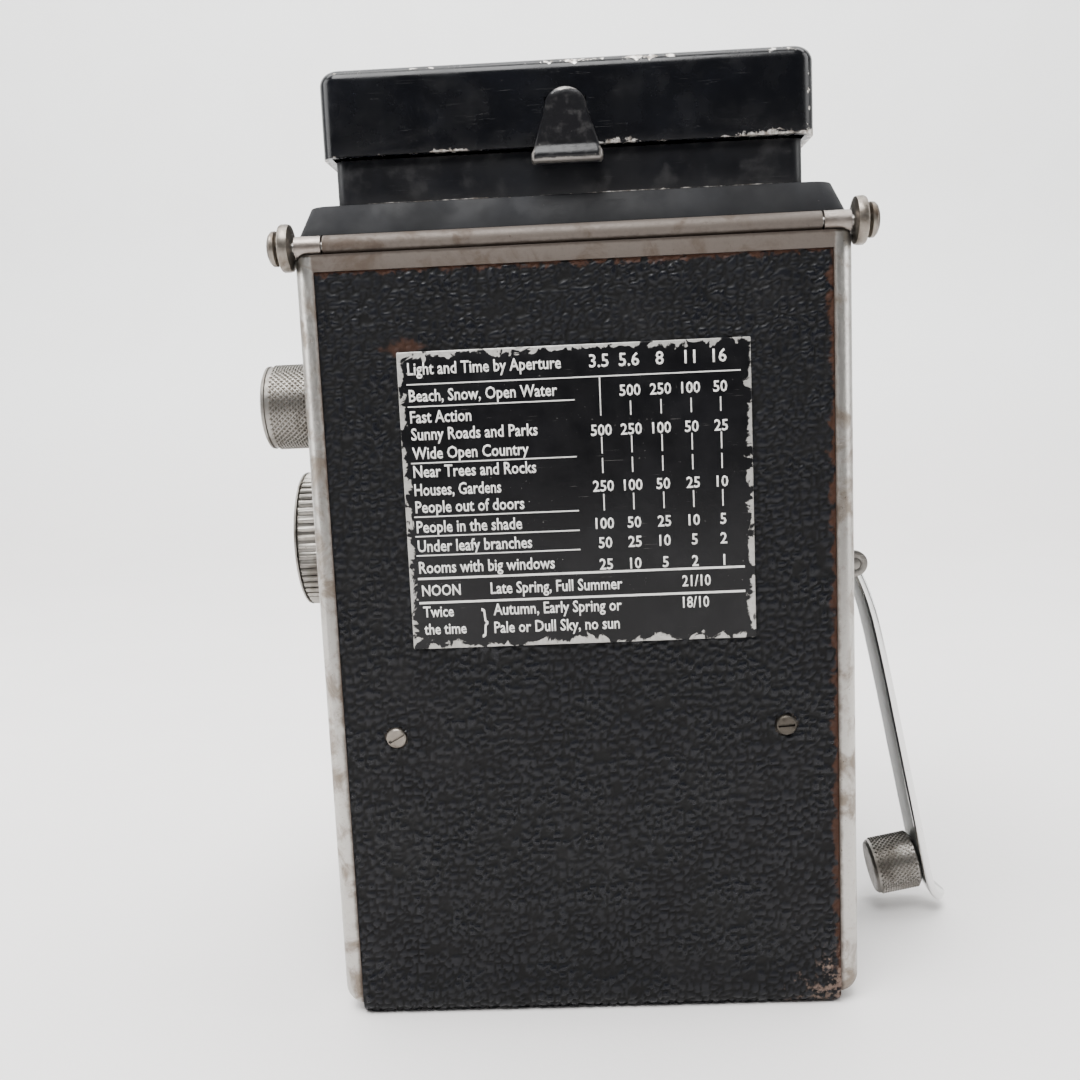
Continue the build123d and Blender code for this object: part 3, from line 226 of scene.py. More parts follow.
def leather_finish(name, shade, stained):
    hide = Finish(name)
    grain = hide.read("grain")
    height = hide.calc("ADD", grain, hide.calc("MULTIPLY", hide.cloud(0.35, 3.0), 0.25))
    # The creases get a far darker colour than the pebble tops: painted shade in the grain, on top of the dye.
    dye_and_crease_shade = hide.mix(hide.step(grain, 0.05, 0.85), (0.0012, 0.0012, 0.0014), shade)
    dye_and_crease_shade = hide.mix(hide.step(hide.cloud(14, 4.0), 0.52, 0.75, 0, 0.5), dye_and_crease_shade, (0.008, 0.0078, 0.0085))
    rubbed = hide.calc("MULTIPLY", hide.step(grain, 0.75, 1.0), hide.step(hide.cloud(5, 5.0), 0.56, 0.7))
    dye_and_crease_shade = hide.mix(hide.calc("MULTIPLY", rubbed, 0.3), dye_and_crease_shade, (0.03, 0.029, 0.029))
    if stained:
        low, high = in_mm("back_leather")
        x, z = hide.across("X"), hide.across("Z")
        side = hide.calc("SUBTRACT", x, low[0])
        top = hide.calc("SUBTRACT", high[2], z)
        ragged = hide.calc("MULTIPLY", hide.calc("SUBTRACT", hide.cloud(2.2, 6.0), 0.47), 5.0)
        rust = hide.step(hide.calc("SUBTRACT", side, ragged), 0.75, 0.1)
        rust = hide.calc("MAXIMUM", rust, hide.step(hide.calc("SUBTRACT", top, ragged), 0.55, -0.1))
        corner = hide.calc("ADD", side, hide.calc("SUBTRACT", z, 1.0))
        bare = hide.step(hide.calc("SUBTRACT", corner, hide.calc("MULTIPLY", ragged, 5.0)), 8.0, 3.5)
        table_high = in_mm("exposure_table")[1]
        beside = hide.calc("ABSOLUTE", hide.calc("SUBTRACT", x, table_high[0] - 1.0))
        above = hide.calc("ABSOLUTE", hide.calc("SUBTRACT", z, table_high[2] + 0.6))
        spot = hide.calc("ADD", hide.calc("MULTIPLY", beside, 0.5), above)
        rust = hide.calc("MAXIMUM", rust, hide.step(hide.calc("SUBTRACT", spot, ragged), 1.5, 0.7, 0, 0.8))
        dye_and_crease_shade = hide.mix(hide.calc("MULTIPLY", rust, 0.7), dye_and_crease_shade, (0.05, 0.019, 0.009))
        tan = hide.mix(hide.cloud(1.4, 5.0), (0.06, 0.025, 0.014), (0.22, 0.17, 0.14))
        dye_and_crease_shade = hide.mix(hide.calc("MULTIPLY", bare, hide.step(hide.cloud(0.9, 5.0), 0.46, 0.6)), dye_and_crease_shade, tan)
        rubbed = hide.calc("MAXIMUM", rubbed, hide.calc("MAXIMUM", rust, bare))
    polish = hide.step(grain, 0.15, 0.9, 0.6, 0.27)
    polish = hide.calc("ADD", polish, hide.step(hide.cloud(9, 5.0), 0.35, 0.75, -0.05, 0.1))
    return hide.done(dye_and_crease_shade, 0.0, hide.blend(rubbed, polish, 0.62), height, 0.05, **{"Specular IOR Level": 0.2})


shell_low = in_mm("back_shell")[0]
hide_low, hide_high = in_mm("back_leather")
REAR_FACE = hide_high[1] - 0.28
EDGE_ROUND = 2.5
straight = hide_high[2] - (shell_low[2] + 2.4)
round_run = EDGE_ROUND * pi / 2
FOOT_SWELL = 0.42


def on_back(across, down):
    x = hide_low[0] + 0.05 + across
    swell = min(1.0, max(0.0, (down - straight + 5.0) / 4.0))
    face_y = REAR_FACE + FOOT_SWELL * swell * swell * (3 - 2 * swell)
    if down <= straight:
        return (x, face_y, hide_high[2] - 0.05 - down), (0, 1, 0)
    angle = (down - straight) / EDGE_ROUND
    centre = (face_y - EDGE_ROUND, hide_high[2] - 0.05 - straight)
    return (x, centre[0] + EDGE_ROUND * cos(angle), centre[1] - EDGE_ROUND * sin(angle)), (0, cos(angle),
        -sin(angle))


screw_low, screw_high = in_mm("back_screws")
SCREW_AT = (screw_high[0] - 1.55, (screw_low[2] + screw_high[2]) / 2)


def clear_of_screws(x, y, z):
    return math.hypot(abs(x) - SCREW_AT[0], z - SCREW_AT[1]) > 1.45


hide_wide = hide_high[0] - hide_low[0] - 0.1
hide_tall = straight + round_run
back_hide = grained(
    "back_leather_grained", int(hide_wide / 0.33), int(hide_tall / 0.31), on_back,
    {"wide": hide_wide, "tall": hide_tall, "test": clear_of_screws, "turn": True}, 1.2, 0.34, 11,
)
BLUE_BLACK = (0.0048, 0.0053, 0.0075)
fit("back_leather_grained", back_hide, ["back_leather"],
    leather_finish("back_hide", BLUE_BLACK, True), 180)


# Side leathers. The same skin, cut flat and glued to each side, with holes for the knobs' guides
# and for the shafts. It is less worn than the back.
side_finish = leather_finish("side_hide", BLUE_BLACK, False)
SIDE_HIDE_FACE = 37.72
HOLES = {
    "left_side_leather": [("takeup_knob", 4.6), ("supply_knob", 4.6), ("focus_knob", 5.4)],
    "right_side_leather": [("crank_hub", 5.4)],
}
for seed, (leather, holes) in enumerate(HOLES.items()):
    low, high = in_mm(leather)
    outer = 1 if high[0] > 0 else -1
    centres = []
    for node, radius in holes:
        node_low, node_high = in_mm(node)
        centres.append(((node_low[1] + node_high[1]) / 2, (node_low[2] + node_high[2]) / 2, radius))

    def on_side(across, down, outer=outer, low=low, high=high):
        return (outer * SIDE_HIDE_FACE, low[1] + across, high[2] - down), (outer, 0, 0)

    def clear_of_holes(x, y, z, centres=centres):
        return all(math.hypot(y - cy, z - cz) > r for cy, cz, r in centres)

    wide, tall = high[1] - low[1], high[2] - low[2]
    side_hide = grained(
        leather + "_grained", int(wide / 0.45), int(tall / 0.45), on_side,
        {"wide": wide, "tall": tall, "test": clear_of_holes, "turn": outer < 0}, 1.3, 0.28, 23 + seed,
    )
    fit(leather + "_grained", side_hide, [leather], side_finish, 180)


# Metal shell of the back, with the hinge across its top. Drawn brass sheet, nickelled, with rolled
# rims that stand up round the leather; the plating is dull, scratched and brown near the joins. A
# dark line along the foot of the hinge barrel is painted shade.
def softened(name, nodes, material, width=0.2, steps=2, keep=28):
    """A copy of CAD nodes with their sharp edges eased, shown in their place."""
    shape = bmesh.new()
    for node in nodes:
        shape.from_mesh(frame["nodes"][node].data)
    bmesh.ops.remove_doubles(shape, verts=shape.verts, dist=2e-6)
    bmesh.ops.dissolve_limit(shape, angle_limit=radians(0.6), verts=shape.verts, edges=shape.edges)
    sharp = [e for e in shape.edges if len(e.link_faces) == 2 and e.calc_face_angle(0) > radians(keep)]
    if width:
        bmesh.ops.bevel(shape, geom=sharp, offset=width * MM, segments=steps, profile=0.5,
                        affect="EDGES", clamp_overlap=True)
    bmesh.ops.triangulate(shape, faces=[f for f in shape.faces if len(f.verts) > 4])
    mesh = bpy.data.meshes.new(name)
    shape.to_mesh(mesh)
    shape.free()
    return fit(name, mesh, nodes, material, 30)


def plated(name, tone=(0.4, 0.385, 0.36), brown=(0.12, 0.085, 0.055), grime_at=None, shine=0.3,
           brown_share=0.55, barrel_shade_at=None):
    metal = Finish(name)
    patina = metal.step(metal.cloud(5.0, 8.0, distortion=0.6), 0.46, 0.66)
    fine = metal.cloud(0.5, 6.0)
    colour = metal.mix(metal.calc("MULTIPLY", patina, brown_share), tone, brown)
    colour = metal.mix(metal.step(fine, 0.55, 0.75, 0, 0.35), colour, (0.2, 0.185, 0.165))
    lines = metal.calc("MAXIMUM", metal.scratches(14, 0.09, (0, 80, 8)),
                       metal.scratches(9, 0.07, (0, 15, 30)))
    colour = metal.mix(metal.calc("MULTIPLY", lines, 0.5), colour, (0.75, 0.74, 0.72))
    pits = metal.step(metal.cloud(0.7, 3.0), 0.68, 0.74)
    colour = metal.mix(metal.calc("MULTIPLY", pits, 0.7), colour, (0.05, 0.035, 0.025))
    rough = metal.calc("ADD", metal.step(fine, 0.3, 0.7, shine, shine + 0.14),
                       metal.calc("MULTIPLY", patina, 0.12))
    metallic = 1.0
    if grime_at is not None:
        beyond = metal.calc("SUBTRACT", metal.calc("ABSOLUTE", metal.across("X")), grime_at)
        soot = metal.step(metal.calc("ADD", beyond, metal.calc("MULTIPLY", metal.cloud(1.6, 5.0), 0.7)),
                          0.95, 0.35)
        colour = metal.mix(metal.calc("MULTIPLY", soot, 0.85), colour, (0.045, 0.028, 0.018))
        metallic = metal.step(soot, 0, 1, 1, 0.4)
        rough = metal.calc("ADD", rough, metal.calc("MULTIPLY", soot, 0.2))
    # A dark band along the foot of the hinge barrel: painted shade in the crease under the barrel.
    if barrel_shade_at is not None:
        beside = metal.calc("ABSOLUTE", metal.calc("SUBTRACT", metal.across("Z"), barrel_shade_at))
        barrel_foot_shade = metal.step(metal.calc("ADD", beside, metal.calc("MULTIPLY", metal.cloud(1.6, 5.0), 0.35)),
                          0.75, 0.4)
        colour = metal.mix(metal.calc("MULTIPLY", barrel_foot_shade, 0.9), colour, (0.03, 0.02, 0.014))
    height = metal.calc("SUBTRACT", fine, metal.calc("ADD", metal.calc("MULTIPLY", lines, 0.6), pits))
    return metal.done(colour, metallic, rough, height, 0.02)


pin_low, pin_high = in_mm("door_hinge_pin")
BARREL_FOOT = (pin_low[2] + pin_high[2]) / 2 - 1.1
rim_metal = plated("dull_nickel_rims", grime_at=hide_high[0], brown_share=0.75, barrel_shade_at=BARREL_FOOT)
dull_metal = plated("dull_nickel")
softened("back_shell_plated", ["back_shell"], rim_metal, 0.3, 3)
softened("door_hinge_pin_plated", ["door_hinge_pin"], dull_metal, 0)
softened("back_latch_plated", ["back_latch"], dull_metal, 0.12)


# Exposure table. An enamelled metal plate let into the leather, black with silver lines and
# letters, its edges rubbed pale. The words and numbers are general advice on light and aperture.
low, high = in_mm("exposure_table")
plate_wide, plate_tall = high[0] - low[0], high[2] - low[2]
face = Finish("table_enamel")
rub = face.edge("exposure_table")
chewed = face.calc("MULTIPLY", face.calc("SUBTRACT", face.cloud(2.4, 8.0, distortion=0.8), 0.5), 5.5)
paleness = face.step(face.calc("SUBTRACT", rub, chewed), 0.62, 0.35)
pale = face.mix(face.cloud(0.6, 5.0), (0.2, 0.19, 0.175), (0.6, 0.59, 0.56))
specks = face.calc("MULTIPLY", face.step(face.cloud(0.35, 3.0), 0.7, 0.74),
                   face.step(face.cloud(6, 3.0), 0.5, 0.62))
specks = face.calc("MAXIMUM", specks, face.calc("MULTIPLY", face.scratches(7, 0.08, (0, 40, 0), 0.72), 0.6))
ink = face.mix(face.step(face.cloud(8, 5.0), 0.4, 0.7), (0.0018, 0.0018, 0.0024), (0.0045, 0.0045, 0.0055))
ink = face.mix(specks, ink, (0.3, 0.29, 0.27))
ink = face.mix(paleness, ink, pale)
table_finish = face.done(ink, face.calc("MULTIPLY", paleness, 0.6), face.blend(paleness, face.step(
    face.cloud(3, 5.0), 0.3, 0.7, 0.28, 0.4), 0.5), face.calc("SUBTRACT", face.cloud(0.8, 5.0), paleness),
    0.03,
    **{"Specular IOR Level": 0.2})
softened("exposure_table_plate", ["exposure_table"], table_finish, 0.18, 2)

silver = Finish("silver_ink")
worn = silver.step(silver.cloud(2.5, 6.0), 0.55, 0.75, 0, 0.45)
silver_finish = silver.done(silver.mix(worn, (0.72, 0.71, 0.68), (0.3, 0.29, 0.27)), 0.25, 0.42,
                            silver.cloud(0.3, 3.0), 0.01)
INK_STANDS = 0.05
print_front = high[1]


def at_table(u, v):
    """A place on the plate, from the reader's upper left corner."""
    return high[0] - u * plate_wide, high[2] - v * plate_tall


ink_shape = bmesh.new()


def letter(text, u, v, tall, wide=None, centred=False, squeeze=0.78):
    curve = bpy.data.curves.new("print", "FONT")
    curve.body = text
    curve.size = tall
    curve.resolution_u = 2
    curve.offset = 0.03
    holder = bpy.data.objects.new("print", curve)
    bpy.context.scene.collection.objects.link(holder)
    bpy.context.view_layer.update()
    mesh = bpy.data.meshes.new_from_object(holder.evaluated_get(bpy.context.evaluated_depsgraph_get()))
    bpy.data.objects.remove(holder)
    left = min(p.co.x for p in mesh.vertices)
    right = max(p.co.x for p in mesh.vertices)
    scale = min(0.8, wide * plate_wide / (right - left)) if wide else squeeze
    shift = -(left + right) / 2 if centred else -left
    x, z = at_table(u, v)
    for point in mesh.vertices:
        flat = point.co.copy()
        point.co = ((x - (flat.x + shift) * scale) * MM, (print_front + INK_STANDS) * MM,
                    (z + flat.y - 0.36 * tall) * MM)
    ink_shape.from_mesh(mesh)
    bpy.data.meshes.remove(mesh)


def rule(u0, v0, u1, v1, thick):
    x0, z0 = at_table(u0, v0)
    x1, z1 = at_table(u1, v1)
    if v0 == v1:
        corners = [(x0, z0 - thick / 2), (x1, z0 - thick / 2), (x1, z0 + thick / 2), (x0, z0 + thick / 2)]
    else:
        corners = [(x0 + thick / 2, z1), (x0 - thick / 2, z1), (x0 - thick / 2, z0), (x0 + thick / 2, z0)]
    ink_shape.faces.new([ink_shape.verts.new((x * MM, (print_front + INK_STANDS) * MM, z * MM)) for x,
                         z in corners])


ROWS = [0.055, 0.143, 0.213, 0.27, 0.333, 0.394, 0.455, 0.513, 0.58, 0.645, 0.718]
WORDS = [
    ("Light and Time by Aperture", 0.455), ("Beach, Snow, Open Water", 0.435), ("Fast Action", 0.225),
    ("Sunny Roads and Parks", 0.41), ("Wide Open Country", 0.435), ("Near Trees and Rocks", 0.47),
    ("Houses, Gardens", 0.25), ("People out of doors", 0.34), ("People in the shade", 0.32),
    ("Under leafy branches", 0.455), ("Rooms with big windows", 0.42),
]
COLUMNS = [0.573, 0.658, 0.744, 0.829, 0.912]
STOPS = ["3.5", "5.6", "8", "11", "16"]
SPEEDS = ["500", "250", "100", "50", "25", "10", "5", "2", "1"]
for v, (text, wide) in zip(ROWS, WORDS):
    letter(text, 0.03, v, 2.35, wide)
for u, text in zip(COLUMNS, STOPS):
    letter(text, u, ROWS[0], 2.5, centred=True, squeeze=0.95)
for row, first in ((1, -1), (3, 0), (6, 1), (8, 2), (9, 3), (10, 4)):
    for column, u in enumerate(COLUMNS):
        if first + column >= 0:
            letter(SPEEDS[first + column], u, ROWS[row] + 0.012, 2.15, centred=True, squeeze=0.92)
TICKS = [(0.108, 0.235, (0,)), (0.19, 0.237, (1, 2, 3, 4)), (0.305, 0.36, (0, 1, 2, 3, 4)),
         (0.375, 0.425, (0, 1, 2, 3, 4)),
         (0.495, 0.55, (0, 1, 2, 3, 4))]
for v0, v1, columns in TICKS:
    for column in columns:
        rule(COLUMNS[column], v0, COLUMNS[column], v1, 0.17)
for v, wide in ((0.107, 0.97), (0.757, 0.97), (0.84, 0.97), (0.18, 0.5), (0.367, 0.5), (0.547, 0.5),
                (0.613, 0.5), (0.678, 0.5)):
    rule(0.025, v, wide, v, 0.3 if wide > 0.9 and v > 0.2 else 0.17)
letter("NOON", 0.035, 0.797, 2.2, 0.125)
letter("Late Spring, Full Summer", 0.235, 0.797, 2.3, 0.42)
letter("21/10", 0.79, 0.797, 2.2, 0.11)
letter("Twice", 0.035, 0.87, 2.2, 0.11)
letter("the time", 0.035, 0.93, 2.2, 0.155)
letter("}", 0.205, 0.905, 4.4, 0.018)
letter("Autumn, Early Spring or", 0.24, 0.87, 2.3, 0.51)
letter("Pale or Dull Sky, no sun", 0.24, 0.932, 2.3, 0.51)
letter("18/10", 0.79, 0.87, 2.2, 0.11)
bmesh.ops.remove_doubles(ink_shape, verts=ink_shape.verts, dist=1e-6)
bmesh.ops.recalc_face_normals(ink_shape, faces=ink_shape.faces)
for flat in ink_shape.faces:
    if flat.normal.y < 0:
        flat.normal_flip()
INK_DEPTH = 0.09
walls = bmesh.ops.extrude_face_region(ink_shape, geom=list(ink_shape.faces))
raised = {part for part in walls["geom"] if isinstance(part, bmesh.types.BMVert)}
for point in ink_shape.verts:
    if point not in raised:
        point.co.y -= INK_DEPTH * MM
bmesh.ops.recalc_face_normals(ink_shape, faces=ink_shape.faces)
ink_mesh = bpy.data.meshes.new("exposure_table_print")
ink_shape.to_mesh(ink_mesh)
ink_shape.free()
ink_mesh.materials.append(silver_finish)
table_print = bpy.data.objects.new("exposure_table_print", ink_mesh)
bpy.context.scene.collection.objects.link(table_print)
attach(table_print, "back_door")


# Screws and strap studs. The screws have low slotted heads, nickelled and partly rubbed to brass;
# each stud is two stacked discs on the end of the hinge pin, with a slot across the outer one.
def turned(profile, matrix, steps=48):
    """Mesh of a turned piece: profile is (along, radius) in mm, and its axis is the matrix's Z."""
    shape = bmesh.new()
    rings = []
    for along, radius in profile:
        if radius < 1e-6:
            rings.append([shape.verts.new(matrix @ Vector((0, 0, along)) * MM)])
        else:
            rings.append([
                shape.verts.new(matrix @ Vector((radius * cos(2 * pi * i / steps),
                                                 radius * sin(2 * pi * i / steps), along)) * MM)
                for i in range(steps)
            ])
    for first, second in zip(rings, rings[1:]):
        for i in range(steps):
            j = (i + 1) % steps
            corners = []
            for vert in (first[i % len(first)], first[j % len(first)], second[j % len(second)],
                         second[i % len(second)]):
                if vert not in corners:
                    corners.append(vert)
            if len(corners) > 2:
                shape.faces.new(corners)
    bmesh.ops.recalc_face_normals(shape, faces=shape.faces)
    mesh = bpy.data.meshes.new("turned")
    shape.to_mesh(mesh)
    shape.free()
    return mesh


def facing(direction, origin):
    """Matrix in mm that stands a turned piece's axis along a direction at a place."""
    return Matrix.Translation(Vector(origin)) @ Vector(direction).to_track_quat("Z", "Y").to_matrix().to_4x4()


def joined(name, meshes, finishes):
    """One mesh from several, each keeping its own material."""
    shape = bmesh.new()
    for index, mesh in enumerate(meshes):
        before = len(shape.faces)
        shape.from_mesh(mesh)
        shape.faces.ensure_lookup_table()
        for flat in shape.faces[before:]:
            flat.material_index = index
    result = bpy.data.meshes.new(name)
    shape.to_mesh(result)
    shape.free()
    for finish in finishes:
        result.materials.append(finish)
    return result


def tree_of(name, sockets):
    tree = bpy.data.node_groups.new(name, "GeometryNodeTree")
    for label, kind in sockets:
        tree.interface.new_socket(name=label, in_out="INPUT", socket_type="NodeSocket" + kind)
    tree.interface.new_socket(name="Geometry", in_out="OUTPUT", socket_type="NodeSocketGeometry")
    return tree


def joint_of(tree):
    """A short call that adds a node to a tree and links or sets its inputs."""
    def add(kind, inputs, **settings):
        node = tree.nodes.new(kind)
        for key, value in settings.items():
            setattr(node, key, value)
        for key, value in inputs.items():
            if isinstance(value, bpy.types.NodeSocket):
                tree.links.new(value, node.inputs[key])
            else:
                node.inputs[key].default_value = value
        return node
    return add


def screws_tree():
    """Puts a screw at each point, its slot turned at random."""
    tree = tree_of("screws_at_points", [
        ("Points", "Geometry"), ("Screw", "Object"), ("Metal", "Material"), ("Seed", "Int"),
    ])
    add = joint_of(tree)
    given = add("NodeGroupInput", {}).outputs
    screw = add("GeometryNodeObjectInfo", {"Object": given["Screw"]}).outputs["Geometry"]
    turn = add("FunctionNodeRandomValue", {"Min": 0.0, "Max": pi, "Seed": given["Seed"]}, data_type="FLOAT")
    angle = next(s for s in turn.outputs if s.type == "VALUE" and s.enabled)
    spin = add("ShaderNodeCombineXYZ", {"Z": angle}).outputs[0]
    copies = add("GeometryNodeInstanceOnPoints", {
        "Points": given["Points"], "Instance": screw, "Rotation": spin,
    }).outputs[0]
    real = add("GeometryNodeRealizeInstances", {"Geometry": copies}).outputs[0]
    painted = add("GeometryNodeSetMaterial", {"Geometry": real, "Material": given["Metal"]}).outputs[0]
    add("NodeGroupOutput", {"Geometry": painted})
    return tree


def grown(tree, values, points=((0, 0, 0),)):
    """The plain mesh that a tree makes from a few points."""
    mesh = bpy.data.meshes.new("points")
    mesh.from_pydata([Vector(point) for point in points], [], [])
    holder = bpy.data.objects.new("points", mesh)
    modifier = holder.modifiers.new("repeat", "NODES")
    modifier.node_group = tree
    for item in tree.interface.items_tree:
        if item.in_out == "INPUT" and item.name in values:
            modifier[item.identifier] = values[item.name]
    bpy.context.scene.collection.objects.link(holder)
    bpy.context.view_layer.update()
    result = bpy.data.meshes.new_from_object(holder.evaluated_get(bpy.context.evaluated_depsgraph_get()))
    holder.modifiers.remove(modifier)
    bpy.data.objects.remove(holder)
    return result


def pattern_piece(mesh):
    """An original for a tree to repeat, in mm."""
    original = bpy.data.objects.new("original", mesh)
    bpy.context.scene.collection.objects.link(original)
    return original


def screw_mesh(radius, tall):
    """Slotted head about Z, its rim rounded, standing on z = 0."""
    shape = bmesh.new()
    steps = 28
    slot_half, slot_deep = 0.14 * radius, 0.45 * tall
    rings = [(0.0, radius), (0.55 * tall, radius), (0.85 * tall, 0.93 * radius), (tall, 0.8 * radius)]
    disc = turned([*rings, (tall, 0.0)], Matrix.Scale(1 / MM, 4), steps)
    shape.from_mesh(disc)
    for cut_at in (slot_half, -slot_half):
        bmesh.ops.bisect_plane(shape, geom=[*shape.verts, *shape.edges, *shape.faces],
                               plane_co=(cut_at, 0, 0), plane_no=(1, 0, 0))
    floor = [f for f in shape.faces if f.normal.z > 0.9 and abs(f.calc_center_median().x) < slot_half * 0.98
             and f.calc_center_median().z > 0.9 * tall]
    sunk = bmesh.ops.extrude_face_region(shape, geom=floor)
    bmesh.ops.delete(shape, geom=floor, context="FACES")
    for part in sunk["geom"]:
        if isinstance(part, bmesh.types.BMVert):
            part.co.z -= slot_deep
    mesh = bpy.data.meshes.new("screw")
    shape.to_mesh(mesh)
    shape.free()
    return mesh


SCREWS = screws_tree()
screw_metal = plated("screw_nickel", (0.2, 0.18, 0.155), (0.05, 0.032, 0.02), brown_share=0.85, shine=0.32)
dark_screw = plated("blacked_screw", (0.07, 0.062, 0.052), (0.02, 0.015, 0.011), brown_share=0.8, shine=0.36)


def screw_set(radius, tall, places, direction, seed, metal=None):
    """Screw heads at places in mm that all face one way."""
    original = pattern_piece(screw_mesh(radius, tall))
    matrix = facing(direction, (0, 0, 0))
    points = [matrix.inverted() @ Vector(place) for place in places]
    mesh = grown(SCREWS, {"Screw": original, "Metal": metal or screw_metal, "Seed": seed}, points)
    bpy.data.objects.remove(original)
    mesh.transform(Matrix.Scale(MM, 4) @ matrix)
    return mesh


back_heads = [screw_set(1.5, 0.9, [(side * SCREW_AT[0], REAR_FACE - 0.15, SCREW_AT[1])], (0, 1, 0), seed)
              for side, seed in ((-1, 5), (1, 6))]
fit("back_screw_heads", joined("back_screws", back_heads, [dark_screw, screw_metal]), ["back_screws"],
    None, 30)

STUD_START = 38.1
for index, side in enumerate((-1, 1)):
    low, high = in_mm("strap_studs")
    centre = ((low[1] + high[1]) / 2, (low[2] + high[2]) / 2)
    reach = (high[1] - low[1]) / 2
    disc = turned([
        (0, 0), (0, reach * 0.78), (0.2, reach * 0.97), (0.6, reach), (1.3, reach), (1.55, reach * 0.95),
        (1.65, reach * 0.62),
        (1.95, reach * 0.55), (2.05, reach * 0.68), (2.25, reach * 0.74), (2.75, reach * 0.73),
        (3.1, reach * 0.62), (3.25, reach * 0.4),
        (3.28, 0),
    ], facing((side, 0, 0), (side * STUD_START, *centre)))
    slot_head = screw_set(reach * 0.5, 0.3, [(side * (STUD_START + 3.05), *centre)], (side, 0, 0), 40 + index)
    stud = joined("stud", [disc, slot_head], [screw_metal])
    for flat in stud.polygons:
        flat.material_index = 0
    fit(("right", "left")[index] + "_strap_stud_turned", stud, ["strap_studs"], None, 35)


# Hood base, collar and lid. Pressed brass sheet in glossy black enamel, worn through to bare metal
# along the edges, chipped where it has been knocked and scuffed grey where the lid rubs.
def enamel(name, node, wear=0.45, ragged_by=1.5, chips=0.0, scuffed=0.0, gloss=0.2):
    paint = Finish(name)
    rub = paint.edge(node)
    uneven = paint.calc("SUBTRACT", paint.cloud(1.6, 7.0, distortion=0.5), 0.5)
    sweep = paint.step(paint.cloud(11, 3.0), 0.35, 0.62, -0.35, 0.35)
    limit = paint.calc("ADD", paint.calc("MULTIPLY", uneven, ragged_by * 2.6),
                       paint.calc("MULTIPLY", sweep, ragged_by))
    bare = paint.step(paint.calc("SUBTRACT", rub, limit), wear, wear - 0.22)
    if chips:
        flakes = paint.calc("MULTIPLY", paint.step(paint.cloud(1.3, 5.0, distortion=0.4), 0.68, 0.7),
                            paint.step(paint.cloud(9, 2.0, distortion=0.3), 0.66 - 0.12 * chips,
                                       0.7 - 0.12 * chips))
        bare = paint.calc("MAXIMUM", bare, flakes)
    lines = paint.calc("MAXIMUM", paint.scratches(6, 0.06, (0, 35, 10), 0.7),
                       paint.scratches(8, 0.05, (0, -60, 25), 0.71))
    hue = paint.mix(paint.step(paint.cloud(9, 5.0), 0.4, 0.7), (0.0016, 0.0018, 0.0028),
                    (0.0034, 0.0038, 0.0056))
    dull = paint.step(paint.cloud(4, 6.0), 0.5, 0.72, 0, scuffed)
    hue = paint.mix(dull, hue, (0.013, 0.013, 0.014))
    hue = paint.mix(paint.calc("MULTIPLY", lines, 0.3), hue, (0.05, 0.049, 0.048))
    metal = paint.mix(paint.step(paint.cloud(0.8, 5.0), 0.4, 0.65), (0.2, 0.175, 0.15), (0.62, 0.6, 0.57))
    hue = paint.mix(bare, hue, metal)
    rough = paint.calc("ADD", paint.step(paint.cloud(6, 7.0), 0.3, 0.72, gloss, gloss + 0.16),
                       paint.calc("MULTIPLY", dull, 0.2))
    rough = paint.blend(bare, rough, 0.42)
    orange_peel = paint.cloud(0.9, 2.0)
    height = paint.calc("SUBTRACT", paint.calc("MULTIPLY", orange_peel, 0.25),
                        paint.calc("ADD", bare, paint.calc("MULTIPLY", lines, 0.3)))
    return paint.done(hue, paint.calc("MULTIPLY", bare, 0.9), rough, height, 0.035,
                      **{"Specular IOR Level": 0.22})


softened("hood_base_enamelled", ["hood_base"],
         enamel("base_enamel", "hood_base", 0.28, 0.8, 0.55, 0.25, 0.55), 0.28, 3)
softened("hood_collar_enamelled", ["hood_collar"],
         enamel("collar_enamel", "hood_collar", 0.06, 0.22, 0.0, 1.0, 0.32), 0.25, 2)
lid_paint = enamel("lid_enamel", "hood_lid", 0.42, 1.3, 0.75, 0.25, 0.17)
softened("hood_lid_enamelled", ["hood_lid"], lid_paint, 0.22, 2)
softened("finder_flap_enamelled", ["finder_flap"],
         enamel("flap_enamel", "finder_flap", 0.2, 0.6, 0.3, 0.3), 0.12)
inner_paint = Finish("flat_black_inside")
bloom = inner_paint.cloud(3, 6.0)
inner_black = inner_paint.done(
    inner_paint.mix(inner_paint.step(bloom, 0.4, 0.7), (0.006, 0.006, 0.006), (0.02, 0.02, 0.021)), 0.0,
    inner_paint.step(bloom, 0.3, 0.7, 0.55, 0.75), inner_paint.cloud(0.25, 3.0), 0.02)
for panel in ("hood_panel_left", "hood_panel_right", "hood_panel_rear", "magnifier_frame"):
    softened(panel + "_enamelled", [panel], inner_black, 0.12)


